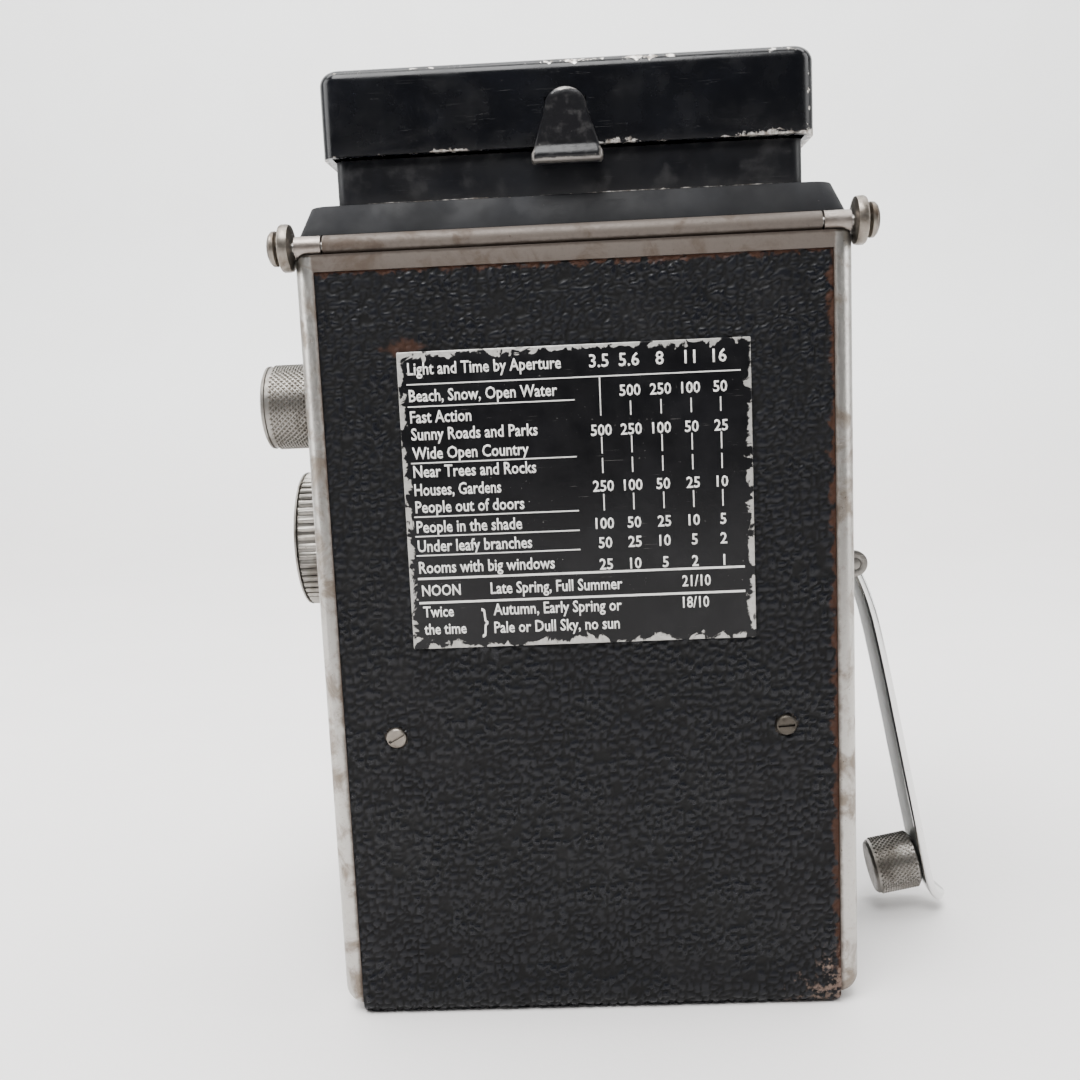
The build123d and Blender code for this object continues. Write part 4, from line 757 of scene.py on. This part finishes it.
# Hood catch. A pressed spring-steel tab, satin black, tapered to a rounded top, with a folded lip
# along its foot that the thumb lifts; its edges are worn grey.
low, high = in_mm("hood_catch")
catch_wide, catch_tall = high[0] - low[0], high[2] - low[2]
tab_back = high[1] - 1.5
CATCH_ROUND = 2.9
outline = []
for i in range(13):
    angle = pi * i / 12
    outline.append((CATCH_ROUND * cos(angle), catch_tall - CATCH_ROUND + CATCH_ROUND * sin(angle)))
FOOT_LINE = ((-0.93, 2.0), (-1.0, 1.2), (-1.0, 0.35), (-0.95, 0.0),
             (0.95, 0.0), (1.0, 0.35), (1.0, 1.2), (0.93, 2.0))
outline += [(catch_wide / 2 * share, z) for share, z in FOOT_LINE]
shape = bmesh.new()
layers = []
for depth, inset in ((0.0, 0.0), (0.85, 0.0), (1.2, 0.18), (1.38, 0.5), (1.42, 1.1)):
    ring = []
    for x, z in outline:
        middle = Vector((0, catch_tall * 0.48))
        away = Vector((x, z)) - middle
        near = away * (1 - inset / max(away.length, 1))
        spot = middle + near
        lip = 0.42 * math.exp(-((spot.y - 0.9) / 0.75) ** 2) if depth > 0.5 else 0
        dip = -0.3 * math.exp(-((spot.y - 2.4) / 0.5) ** 2) if depth > 0.5 else 0
        ring.append(shape.verts.new(Vector((-spot.x, tab_back + depth + lip + dip, low[2] + spot.y)) * MM))
    layers.append(ring)
for first, second in zip(layers, layers[1:]):
    for i in range(len(outline)):
        j = (i + 1) % len(outline)
        shape.faces.new((first[i], first[j], second[j], second[i]))
shape.faces.new(layers[0])
shape.faces.new(layers[-1])
for z in (2.6, 2.3, 1.9, 1.4, 0.9, 0.5):
    bmesh.ops.bisect_plane(shape, geom=[*shape.verts, *shape.edges, *shape.faces],
                           plane_co=(0, 0, (low[2] + z) * MM), plane_no=(0, 0, 1))
for point in shape.verts:
    z = point.co.z / MM - low[2]
    if abs(point.co.y / MM - (tab_back + 1.42)) < 0.5 and point.co.y / MM > tab_back + 1.05:
        lip = 0.42 * math.exp(-((z - 0.9) / 0.75) ** 2)
        flat_depth = tab_back + 1.42 + lip - 0.3 * math.exp(-((z - 2.4) / 0.5) ** 2)
        if abs(point.co.x / MM) < catch_wide / 2 - 0.9 and 0.6 < z < catch_tall - 0.9:
            point.co.y = flat_depth * MM
bmesh.ops.recalc_face_normals(shape, faces=shape.faces)
tab = bpy.data.meshes.new("catch")
shape.to_mesh(tab)
shape.free()
tongue = turned([(-2.5, 0), (-2.5, 1.1), (2.5, 1.1), (2.5, 0)],
                facing((1, 0, 0), (0, high[1] - 3.9, low[2] + 7.2)), 24)
catch_paint = Finish("catch_black")
scuff = catch_paint.step(catch_paint.cloud(1.6, 8.0), 0.48, 0.68)
rub = catch_paint.edge("hood_catch")
bare_edge = catch_paint.step(catch_paint.calc("SUBTRACT", rub,
                                              catch_paint.calc("MULTIPLY", catch_paint.cloud(1.2, 6.0),
                                                  0.9)), 0.2, -0.05)
hue = catch_paint.mix(catch_paint.calc("MULTIPLY", scuff, 0.6), (0.004, 0.004, 0.005), (0.03, 0.029, 0.029))
hue = catch_paint.mix(bare_edge, hue, (0.16, 0.15, 0.14))
nicks = catch_paint.step(catch_paint.cloud(0.8, 4.0), 0.69, 0.72)
hue = catch_paint.mix(nicks, hue, (0.13, 0.12, 0.11))
catch_finish = catch_paint.done(hue,
                                catch_paint.calc("MULTIPLY", catch_paint.calc("MAXIMUM", bare_edge, nicks),
                                                 0.8),
                                catch_paint.step(scuff, 0, 1, 0.33, 0.48), catch_paint.cloud(0.6, 6.0), 0.03,
                                **{"Specular IOR Level": 0.25})
fit("hood_catch_pressed", joined("catch", [tab, tongue], [catch_finish, catch_finish]), ["hood_catch"],
    None, 50)


# Spool knobs and focusing knob. Turned aluminium, grey with age: the two spool knobs have a diamond
# knurl, the focusing knob has straight ribs and a shallow dish in its face.
def drum_tree():
    """Rows of tiles round a drum about Z, every other row shifted by half a tile."""
    tree = tree_of("tiles_round_drum", [
        ("Points", "Geometry"), ("Tile", "Object"), ("Metal", "Material"), ("Count", "Int"), ("Rows", "Int"),
        ("Radius", "Float"), ("Row step", "Float"),
    ])
    add = joint_of(tree)

    def calc(operation, first, second=0.0):
        return add("ShaderNodeMath", {0: first, 1: second}, operation=operation).outputs[0]

    given = add("NodeGroupInput", {}).outputs
    line = add("GeometryNodeMeshLine", {"Count": calc("MULTIPLY", given["Count"], given["Rows"])}).outputs[0]
    index = add("GeometryNodeInputIndex", {}).outputs[0]
    row = calc("FLOOR", calc("DIVIDE", index, given["Count"]))
    shift = calc("MULTIPLY", calc("MODULO", row, 2.0), 0.5)
    angle = calc("MULTIPLY", calc("DIVIDE", calc("ADD", index, shift), given["Count"]), 2 * pi)
    outward = add("ShaderNodeCombineXYZ", {0: calc("COSINE", angle), 1: calc("SINE", angle)}).outputs[0]
    spot = add("ShaderNodeVectorMath", {0: outward, "Scale": given["Radius"]}, operation="SCALE").outputs[0]
    lift = add("ShaderNodeCombineXYZ", {2: calc("MULTIPLY", row, given["Row step"])}).outputs[0]
    spot = add("ShaderNodeVectorMath", {0: spot, 1: lift}, operation="ADD").outputs[0]
    placed = add("GeometryNodeSetPosition", {"Geometry": line, "Position": spot}).outputs[0]
    turn = add("FunctionNodeAxesToRotation", {0: outward, 1: (0, 0, 1)}, primary_axis="Z",
               secondary_axis="X").outputs[0]
    tile = add("GeometryNodeObjectInfo", {"Object": given["Tile"]}).outputs["Geometry"]
    copies = add("GeometryNodeInstanceOnPoints",
                 {"Points": placed, "Instance": tile, "Rotation": turn}).outputs[0]
    real = add("GeometryNodeRealizeInstances", {"Geometry": copies}).outputs[0]
    painted = add("GeometryNodeSetMaterial", {"Geometry": real, "Material": given["Metal"]}).outputs[0]
    add("NodeGroupOutput", {"Geometry": painted})
    return tree


DRUM = drum_tree()


def diamond(pitch, row_step, tall):
    """Four-sided point of a diamond knurl, its base just under the drum's surface."""
    mesh = bpy.data.meshes.new("diamond")
    half = pitch / 2
    base, top = -0.5 * tall, tall
    corners = [(row_step, 0, base), (0, half, base), (-row_step, 0, base), (0, -half, base)]
    flat = 0.22
    upper = [(x * flat, y * flat, top) for x, y, z in corners]
    mesh.from_pydata(corners + upper, [],
                     [(0, 1, 5, 4), (1, 2, 6, 5), (2, 3, 7, 6), (3, 0, 4, 7), (4, 5, 6, 7)])
    return mesh


def rib(long, thick, tall):
    """Straight finger rib with a rounded back."""
    mesh = bpy.data.meshes.new("rib")
    section = [(-thick / 2, -0.5 * tall), (-thick / 2, 0.35 * tall), (-thick / 4, 0.85 * tall), (0, tall),
               (thick / 4, 0.85 * tall), (thick / 2, 0.35 * tall), (thick / 2, -0.5 * tall)]
    points = [(x, y, z) for x in (-long / 2, -long / 2 + 0.3, long / 2 - 0.3, long / 2)
              for y, z in [(y, z if abs(x) < long / 2 - 0.1 else z * 0.5) for y, z in section]]
    n = len(section)
    faces = []
    for k in range(3):
        faces += [(k * n + i, k * n + i + 1, (k + 1) * n + i + 1, (k + 1) * n + i) for i in range(n - 1)]
    faces += [tuple(range(n))[::-1], tuple(range(3 * n, 4 * n))]
    mesh.from_pydata(points, [], faces)
    shape = bmesh.new()
    shape.from_mesh(mesh)
    bmesh.ops.recalc_face_normals(shape, faces=shape.faces)
    shape.to_mesh(mesh)
    shape.free()
    return mesh


def round_drum(tile_mesh, count, rows, radius, row_step, start, matrix, metal):
    """Tiles round a drum in mm, from start along its axis."""
    original = pattern_piece(tile_mesh)
    mesh = grown(DRUM,
                 {"Tile": original, "Metal": metal, "Count": count, "Rows": rows, "Radius": float(radius),
                  "Row step": float(row_step)})
    bpy.data.objects.remove(original)
    mesh.transform(Matrix.Scale(MM, 4) @ matrix @ Matrix.Translation((0, 0, start)))
    return mesh


aged = plated("aged_aluminium", (0.24, 0.228, 0.21), (0.08, 0.066, 0.05), shine=0.36)
worn_tips = plated("knurl_metal", (0.28, 0.265, 0.24), (0.085, 0.07, 0.052), shine=0.3)


def spool_knob(node):
    low, high = in_mm(node)
    centre = ((low[1] + high[1]) / 2, (low[2] + high[2]) / 2)
    radius = (high[1] - low[1]) / 2
    matrix = facing((1, 0, 0), (0, *centre))
    tall = 0.28
    drum = radius - tall
    start, end = 38.9, high[0]
    body = turned([
        (29.2, 0), (29.2, 3.15), (start + 4.5, 3.15), (start + 4.5, 5.6), (start, 5.6), (start, drum - 0.3),
        (start + 0.35, drum), (end - 0.9, drum),
        (end - 0.75, drum + 0.16), (end - 0.4, drum + 0.1), (end - 0.1, drum - 0.5),
        (end - 0.25, drum - 1.0), (end - 0.45, 1.2), (end - 0.45, 0),
    ], matrix, 64)
    pitch, step = 2 * pi * drum / 46, 0.42
    rows = int((end - 0.9 - start - 0.5) / step)
    knurl = round_drum(diamond(pitch, step, tall), 46, rows, drum, step, start + 0.55, matrix, worn_tips)
    screw = screw_set(1.15, 0.4, [(end - 0.5, *centre)], (1, 0, 0), 61)
    fit(node + "_knurled", joined(node, [body, knurl, screw], [aged, worn_tips, screw_metal]), [node],
        None, 30)


spool_knob("takeup_knob")
spool_knob("supply_knob")

low, high = in_mm("focus_knob")
centre = ((low[1] + high[1]) / 2, (low[2] + high[2]) / 2)
matrix = facing((1, 0, 0), (0, *centre))
radius = (high[1] - low[1]) / 2
drum = radius - 0.5
body = turned([
    (low[0], 0), (low[0], drum - 0.2), (low[0] + 0.2, drum), (high[0] - 0.6, drum),
    (high[0] - 0.45, radius), (high[0] - 0.15, radius - 0.1), (high[0], radius - 0.5),
    (high[0], radius - 2.2), (high[0] - 0.25, radius - 2.6), (high[0] - 0.65, radius - 2.9),
    (high[0] - 0.65, 2.2), (high[0] - 0.35, 1.8), (high[0] - 0.35, 0),
], matrix, 96)
ribs = round_drum(rib(high[0] - low[0] - 0.9, 0.92, 0.5), 48, 1, drum, 0, (low[0] + high[0]) / 2 - 0.15,
                  matrix, worn_tips)
screw = screw_set(1.5, 0.3, [(high[0] - 0.4, *centre)], (1, 0, 0), 62)
fit("focus_knob_ribbed", joined("focus_knob", [body, ribs, screw], [aged, worn_tips, screw_metal]),
    ["focus_knob"], None, 30)

low, high = in_mm("focus_scale")
dial_radius = (high[1] - low[1]) / 2
dial = turned([(low[0], 0), (low[0], dial_radius - 0.2), (low[0] + 0.2, dial_radius),
               (high[0] - 0.2, dial_radius), (high[0], dial_radius - 0.2), (high[0], 0)], matrix, 96)
marks = round_drum(rib(0.8, 0.22, 0.12), 36, 1, dial_radius, 0, (low[0] + high[0]) / 2, matrix, silver_finish)
fit("focus_scale_marked", joined("focus_scale", [dial, marks], [inner_black, silver_finish]),
    ["focus_scale"], None, 30)
softened("knob_guides_plated", ["knob_guides"], dull_metal, 0.12)
softened("shaft_bearings_plated", ["shaft_bearings"], dull_metal, 0.2)


# Winding crank. A turned hub with two ears holds a folding arm: a flat bent strip, painted greenish
# grey on its flats and polished bright along its edges and tip, with a knurled handle on a pin.
hub_metal = plated("crank_nickel", (0.2, 0.19, 0.175), (0.06, 0.05, 0.04), shine=0.3, brown_share=0.5)
softened("crank_hub_turned", ["crank_hub"], hub_metal, 0.22, 2)
softened("crank_fold_pin_turned", ["crank_fold_pin"], hub_metal, 0.12)

arm_low, arm_high = in_mm("crank_arm")
arm_half = (arm_high[1] - arm_low[1]) / 2
arm_middle = (arm_high[1] + arm_low[1]) / 2
fold_low, fold_high = in_mm("crank_fold_pin")
FOLD = ((fold_low[0] + fold_high[0]) / 2, (fold_low[2] + fold_high[2]) / 2)
ARM_RUN = [(-0.4, -0.6), (-2.6, -5.0), (-5.1, -16.0), (-8.2, -32.3), (-11.35, -48.7), (-12.7, -55.9),
           (-14.1, -58.0), (-15.9, -58.9)]
ARM_THICK = 1.3
curve = bpy.data.curves.new("arm_run", "CURVE")
curve.dimensions = "3D"
curve.resolution_u = 14
spline = curve.splines.new("NURBS")
spline.points.add(len(ARM_RUN) - 1)
for point, (x, z) in zip(spline.points, ARM_RUN):
    point.co = (FOLD[0] + x, 0, FOLD[1] + z, 1)
spline.use_endpoint_u = True
spline.order_u = 3
holder = bpy.data.objects.new("arm_run", curve)
bpy.context.scene.collection.objects.link(holder)
bpy.context.view_layer.update()
run_mesh = bpy.data.meshes.new_from_object(holder.evaluated_get(bpy.context.evaluated_depsgraph_get()))
bpy.data.objects.remove(holder)
run = [point.co.copy() for point in run_mesh.vertices]
lengths = [0.0]
for a, b in zip(run, run[1:]):
    lengths.append(lengths[-1] + (b - a).length)
shape = bmesh.new()
rings = []
for i, spot in enumerate(run):
    before, after = run[max(0, i - 1)], run[min(len(run) - 1, i + 1)]
    along = (after - before).normalized()
    out = Vector((-along.z, 0, along.x))
    left = lengths[-1] - lengths[i]
    half = arm_half - 0.02
    if left < arm_half:
        half *= math.sqrt(max(0.03, 1 - (1 - left / arm_half) ** 2))
    thick = ARM_THICK / 2
    round_off = min(0.42, half * 0.6)
    section = []
    for side_y, side_n in ((1, 1), (-1, 1), (-1, -1), (1, -1)):
        for k in range(4):
            angle = pi / 2 * k / 3
            cy, cn = half - round_off, thick - min(round_off, thick * 0.8)
            dy, dn = (sin(angle), cos(angle)) if side_y * side_n < 0 else (cos(angle), sin(angle))
            section.append((side_y * (cy + round_off * dy), side_n * (cn + min(round_off, thick * 0.8) * dn)))
    section = sorted(section, key=lambda p: math.atan2(p[1], p[0]))
    rings.append([shape.verts.new((spot + out * n + Vector((0, arm_middle + y, 0))) * MM) for y,
                  n in section])
for first, second in zip(rings, rings[1:]):
    for i in range(len(first)):
        j = (i + 1) % len(first)
        shape.faces.new((first[i], first[j], second[j], second[i]))
shape.faces.new(rings[0])
shape.faces.new(rings[-1][::-1])
bmesh.ops.recalc_face_normals(shape, faces=shape.faces)
arm_strip = bpy.data.meshes.new("arm")
shape.to_mesh(arm_strip)
shape.free()
barrel_end = arm_half
barrel = turned([(-barrel_end, 1.05), (-barrel_end, 1.6), (-barrel_end + 0.15, 1.7),
                 (barrel_end - 0.15, 1.7), (barrel_end, 1.6), (barrel_end, 1.05), (-barrel_end, 1.05)],
                facing((0, 1, 0), (FOLD[0], arm_middle, FOLD[1])), 32)
strip_paint = Finish("crank_strip")
beyond = strip_paint.calc("SUBTRACT", arm_half,
                          strip_paint.calc("ABSOLUTE",
                                           strip_paint.calc("SUBTRACT", strip_paint.across("Y"), arm_middle)))
ragged = strip_paint.calc("MULTIPLY", strip_paint.calc("SUBTRACT", strip_paint.cloud(3, 6.0), 0.5), 1.2)
bright = strip_paint.step(strip_paint.calc("SUBTRACT", beyond, ragged), 1.1, 0.7)
tip = strip_paint.step(strip_paint.across("Z"), 6.2, 4.2)
bright = strip_paint.calc("MAXIMUM", bright, tip)
lines = strip_paint.scratches(7, 0.08, (0, 85, 0), 0.68)
hue = strip_paint.mix(strip_paint.cloud(2, 6.0), (0.1, 0.11, 0.1), (0.25, 0.26, 0.24))
hue = strip_paint.mix(bright, hue, (0.7, 0.7, 0.69))
hue = strip_paint.mix(strip_paint.calc("MULTIPLY", lines, 0.6), hue, (0.8, 0.79, 0.77))
strip_finish = strip_paint.done(hue, strip_paint.step(bright, 0, 1, 0.55, 1.0),
                                strip_paint.step(bright, 0, 1, 0.42, 0.14), lines, 0.02)

seat_a, seat_b = Vector((ARM_RUN[4][0], 0, ARM_RUN[4][1])), Vector((ARM_RUN[5][0], 0, ARM_RUN[5][1]))
seat_along = (seat_b - seat_a).normalized()
pin_way = Vector((-seat_along.z, 0, seat_along.x))
seat = Vector((FOLD[0], arm_middle, FOLD[1])) + (seat_a + seat_b) / 2
pin_matrix = facing(tuple(pin_way), tuple(seat))
pin = turned([(-1.0, 0), (-1.0, 1.5), (-0.75, 1.9), (-0.55, 1.9), (-0.55, 1.2), (7.9, 1.2), (7.9, 0)],
             pin_matrix, 32)
fit("crank_arm_bent", joined("crank_arm", [arm_strip, barrel, pin], [strip_finish, hub_metal, hub_metal]),
    ["crank_arm"], None, 40)

HANDLE_LONG = 7.6
handle_radius = 4.75
handle_start = 0.95
tall = 0.24
drum = handle_radius - tall
body = turned([
    (handle_start, 1.25), (handle_start, drum - 0.4), (handle_start + 0.3, drum),
    (handle_start + HANDLE_LONG - 0.5, drum), (handle_start + HANDLE_LONG - 0.1, drum - 0.35),
    (handle_start + HANDLE_LONG, drum - 1.0), (handle_start + HANDLE_LONG - 0.2, 2.4),
    (handle_start + HANDLE_LONG - 0.2, 0),
], pin_matrix, 48)
pitch, step = 2 * pi * drum / 34, 0.42
knurl = round_drum(diamond(pitch, step, tall), 34, int((HANDLE_LONG - 1.2) / step), drum, step,
                   handle_start + 0.6, pin_matrix, worn_tips)
fit("crank_handle_knurled", joined("crank_handle", [body, knurl], [aged, worn_tips]), ["crank_handle"],
    None, 30)


# Front: lens board, shutter and two lenses. A cast board in grey crackle enamel slides out on its
# sleeve; the shutter housing and both barrels screw on to it. Rims are turned and nickelled.
board_paint = Finish("board_enamel")
rub = board_paint.edge("lens_board")
crackle = board_paint.cloud(0.5, 4.0)
bare = board_paint.step(board_paint.calc("SUBTRACT", rub,
                                         board_paint.calc("MULTIPLY", board_paint.cloud(1.4, 6.0), 1.1)),
                                         0.25, -0.1)
hue = board_paint.mix(board_paint.step(board_paint.cloud(7, 5.0), 0.4, 0.7), (0.008, 0.008, 0.009),
                      (0.016, 0.016, 0.018))
hue = board_paint.mix(bare, hue, (0.5, 0.48, 0.45))
board_finish = board_paint.done(hue, board_paint.calc("MULTIPLY", bare, 0.9),
                                board_paint.step(crackle, 0.3, 0.7, 0.38, 0.55), crackle, 0.04)
softened("lens_board_enamelled", ["lens_board"], board_finish, 0.35, 3)

board_face = in_mm("shutter_housing")[1][1]
corner_x, corner_low, corner_high = 26.0, 30.0, 100.0
board_screws = screw_set(1.5, 0.6,
                         [(x, board_face, z) for x in (-corner_x, corner_x) for z in (corner_low,
                             (corner_low + corner_high) / 2, corner_high)], (0, -1, 0), 9)
screws_piece = bpy.data.objects.new("lens_board_screws", board_screws)
board_screws.shade_smooth()
board_screws.set_sharp_from_angle(angle=radians(30))
bpy.context.scene.collection.objects.link(screws_piece)
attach(screws_piece, "lens_unit")

rim_chrome = plated("lens_rim_nickel", (0.6, 0.59, 0.57), (0.22, 0.18, 0.14), shine=0.18, brown_share=0.3)


def lens_barrel(node, bore, seat_radius):
    """Turned barrel about a lens axis, from its front rim back to the board, with a ribbed band."""
    low, high = in_mm(node)
    centre = ((low[0] + high[0]) / 2, (low[2] + high[2]) / 2)
    radius = (high[0] - low[0]) / 2
    back = board_face if node == "viewing_lens_barrel" else high[1]
    long = back - low[1]
    matrix = facing((0, 1, 0), (centre[0], low[1], centre[1]))
    profile = [(long, bore), (long, radius - 0.4), (long - 0.3, radius - 0.4), (long * 0.55, radius - 0.4),
               (long * 0.5, radius - 0.05),
               (0.5, radius - 0.05), (0.15, radius - 0.2), (0.0, radius - 0.6), (0.0, radius - 1.0),
               (0.35, radius - 1.3), (0.7, bore + 0.35)]
    for k in range(5):
        profile += [(0.9 + 0.45 * k, bore + 0.3), (1.1 + 0.45 * k, bore + 0.05)]
    profile += [(long, bore)]
    body = turned(profile, matrix, 80)
    ribs = round_drum(rib(long * 0.42, 0.55, 0.34), 72, 1, radius - 0.42, 0, long * 0.78, matrix, rim_chrome)
    meshes, finishes = [body, ribs], [rim_chrome, rim_chrome]
    if seat_radius:
        meshes.append(turned([(long, bore), (long, seat_radius), (high[1] - low[1], seat_radius),
                              (high[1] - low[1], bore), (long, bore)], matrix, 64))
        finishes.append(inner_black)
    fit(node + "_turned", joined(node, meshes, finishes), [node], None, 35)


lens_barrel("viewing_lens_barrel", 11.0, 12.0)
lens_barrel("taking_lens_barrel", 11.0, 0)
softened("shutter_housing_enamelled", ["shutter_housing"], board_finish, 0.35, 3)
lever_metal = plated("lever_nickel", (0.5, 0.48, 0.45), (0.18, 0.14, 0.1), shine=0.26)
for lever in ("aperture_lever", "shutter_lever"):
    softened(lever + "_filed", [lever], lever_metal, 0.22, 2)
softened("rear_lens_cell_turned", ["rear_lens_cell"], inner_black, 0.15)

glass = Finish("coated_glass")
haze = glass.step(glass.cloud(6, 5.0), 0.45, 0.75, 0.02, 0.07)
lens_glass = glass.done(glass.mix(glass.cloud(8, 3.0), (0.82, 0.88, 0.95), (0.88, 0.9, 0.97)), 0.0, haze,
                        None, 0,
                        **{"Transmission Weight": 0.92, "IOR": 1.52, "Coat Weight": 0.4})
# The front panes are opaque near-black glass: their colour is painted shade for the dark inside of each lens.
deep = Finish("lens_glass_painted_shade")
smear = deep.step(deep.cloud(5, 5.0), 0.45, 0.75, 0.03, 0.1)
pane_painted_shade = deep.done(deep.mix(deep.cloud(9, 3.0), (0.006, 0.008, 0.016), (0.014, 0.012, 0.024)), 0.0,
                       smear, None, 0,
                       **{"IOR": 1.52, "Coat Weight": 0.3})
for pane in ("viewing_lens_glass", "taking_lens_glass"):
    softened(pane + "_coated", [pane], pane_painted_shade, 0)


# Underside. The base is one piece with the back's nickelled shell; it carries four turned feet and
# the steel tripod bush, which is pressed in.
FEET_RADIUS = 2.6
low, high = in_mm("feet")
feet = []
for x in (low[0] + FEET_RADIUS, high[0] - FEET_RADIUS):
    for y in (low[1] + FEET_RADIUS, high[1] - FEET_RADIUS):
        feet.append(turned([(1.02, 0), (1.02, FEET_RADIUS), (0.35, FEET_RADIUS), (0.12, FEET_RADIUS - 0.2),
                            (0.0, FEET_RADIUS - 0.6), (0.0, 1.1), (0.25, 0.8), (0.25, 0)],
                           facing((0, 0, 1), (x, y, 0)), 40))
feet_mesh = joined("feet", feet, [dull_metal] * 4)
fit("feet_turned", feet_mesh, ["feet"], None, 35)
softened("tripod_bush_turned", ["tripod_bush"], dull_metal, 0.15)


# Inside. The casting is painted flat black, the mirror is silvered glass on two rails, the screen is
# ground glass, and the gears are cut brass. These keep their drawn shapes.
satin = Finish("satin_black_casting")
flecks = satin.step(satin.cloud(0.6, 5.0), 0.62, 0.74)
casting_hue = satin.mix(flecks, satin.mix(satin.cloud(9, 5.0), (0.008, 0.008, 0.009), (0.02, 0.02, 0.021)),
                        (0.09, 0.085, 0.08))
arm = satin.step(satin.across("Y"), shell_low[1] + 60.2, shell_low[1] + 60.4)
casting_hue = satin.mix(arm, casting_hue,
                        satin.mix(satin.cloud(3, 6.0), (0.34, 0.32, 0.3), (0.14, 0.1, 0.075)))
satin_black = satin.done(casting_hue, satin.calc("MAXIMUM", arm, satin.calc("MULTIPLY", flecks, 0.4)),
                         satin.step(satin.cloud(2, 5.0), 0.3, 0.7, 0.34, 0.5), satin.cloud(0.4, 4.0), 0.03)

brass = Finish("machined_brass")
tarnish = brass.step(brass.cloud(3, 6.0), 0.45, 0.7)
cuts = brass.cloud(0.15, 2.0, (1, 12, 1))
brass_finish = brass.done(brass.mix(tarnish, (0.62, 0.45, 0.2), (0.25, 0.16, 0.07)), 1.0,
                          brass.step(tarnish, 0, 1, 0.24, 0.42), cuts, 0.01)

mirror = Finish("silvered_mirror")
foxing = mirror.step(mirror.cloud(5, 6.0), 0.62, 0.74)
mirror_finish = mirror.done(mirror.mix(foxing, (0.9, 0.9, 0.91), (0.4, 0.36, 0.3)), 1.0,
                            mirror.step(foxing, 0, 1, 0.03, 0.3), mirror.cloud(12, 2.0), 0.002)

ground = Finish("ground_glass_screen")
etched = ground.cloud(0.15, 3.0)
screen_finish = ground.done(ground.mix(ground.cloud(10, 4.0), (0.55, 0.57, 0.56), (0.7, 0.71, 0.69)), 0.0,
                            ground.step(etched, 0.3, 0.7, 0.5, 0.65), etched, 0.01,
                            **{"Transmission Weight": 0.5})

INSIDE = {
    "satin_black": satin_black, "gloss_black": inner_black, "nickel": dull_metal, "brass": brass_finish,
    "silvered_glass": mirror_finish,
    "ground_glass": screen_finish, "lens_glass": lens_glass, "bright_screws": hub_metal,
    "grey_aluminium": aged, "black_leather": inner_black,
    "table_black": inner_black,
}
for part in frame["record"]["subparts"]:
    node = frame["nodes"][part["node"]]
    if not node.hide_render:
        for place in node.material_slots:
            place.material = INSIDE[part["material_slot"]]


# Studio. A pale sweep of paper, curving up behind the camera body into a wall that is coloured
# lighter than the floor as painted light; a wide soft light over the back, a weaker one from each
# side, and an even pale surround.
paper = Finish("pale_sweep_paper")
fibres = paper.cloud(1.2, 4.0)
# The paper is darker on the floor and lighter up the wall: painted light on one sweep of paper.
tone = paper.mix(paper.step(paper.across("Z"), 0, 120), (0.76, 0.74, 0.73), (0.87, 0.88, 0.875))
tone = paper.mix(paper.step(paper.cloud(60, 3.0), 0.3, 0.7, 0, 0.3), tone, (0.82, 0.8, 0.785))
paper_finish = paper.done(tone, 0.0,
                          paper.step(fibres, 0.3, 0.7, 0.6, 0.8), fibres, 0.05)
SWEEP_HALF, SWEEP_FRONT, SWEEP_BACK, SWEEP_ROUND, SWEEP_TALL = 1.6, 1.2, -0.62, 0.22, 1.6
profile = [(SWEEP_FRONT, 0.0), (SWEEP_BACK + SWEEP_ROUND, 0.0)]
profile += [(SWEEP_BACK + SWEEP_ROUND - SWEEP_ROUND * sin(a),
             SWEEP_ROUND - SWEEP_ROUND * cos(a)) for a in [pi / 2 * k / 24 for k in range(1, 25)]]
profile.append((SWEEP_BACK, SWEEP_TALL))
sheet = bpy.data.meshes.new("sweep")
points = [(x, y, z) for y, z in profile for x in (-SWEEP_HALF, SWEEP_HALF)]
sheet.from_pydata(points, [], [(2 * i, 2 * i + 1, 2 * i + 3, 2 * i + 2) for i in range(len(profile) - 1)])
sheet.materials.append(paper_finish)
sheet.shade_smooth()
sweep = bpy.data.objects.new("sweep", sheet)
bpy.context.scene.collection.objects.link(sweep)

world = bpy.data.worlds.new("surround")
world.use_nodes = True
world.node_tree.nodes["Background"].inputs["Color"].default_value = (0.95, 0.97, 1.0, 1)
world.node_tree.nodes["Background"].inputs["Strength"].default_value = 0.26
bpy.context.scene.world = world


def soft_light(name, spot, target, wide, tall, power, tint=(1, 1, 1)):
    lamp = bpy.data.lights.new(name, "AREA")
    lamp.shape = "RECTANGLE"
    lamp.size, lamp.size_y = wide, tall
    lamp.energy = power
    lamp.color = tint
    holder = bpy.data.objects.new(name, lamp)
    holder.location = spot
    holder.rotation_euler = (Vector(target) - Vector(spot)).to_track_quat("-Z", "Y").to_euler()
    bpy.context.scene.collection.objects.link(holder)


soft_light("over", (0.12, 0.3, 0.7), (0, 0, 0.06), 0.5, 0.35, 11.0)
soft_light("left", (0.6, 0.05, 0.3), (0, 0, 0.07), 0.3, 0.5, 3.0)
soft_light("right", (-0.6, 0.05, 0.3), (0, 0, 0.07), 0.25, 0.5, 2.4)
soft_light("wall", (0.0, -0.2, 1.0), (0, -0.62, 0.33), 1.7, 0.5, 22.0)

lens = bpy.data.cameras.new("view")
lens.sensor_width = 36.0
lens.lens = 38.33
lens.clip_start, lens.clip_end = 0.01, 20.0
viewer = bpy.data.objects.new("view", lens)
right_way = Vector((-0.99851777, -0.03130948, -0.04451945))
up_way = Vector((-0.03991691, -0.1347746, 0.99007194))
looking = Vector((0.03699873, -0.9903815, -0.13332505))
turn = Matrix((right_way, up_way, -looking)).transposed().to_4x4()
viewer.matrix_world = Matrix.Translation((0.0, 0.192555, 0.091607)) @ turn
bpy.context.scene.collection.objects.link(viewer)
bpy.context.scene.camera = viewer
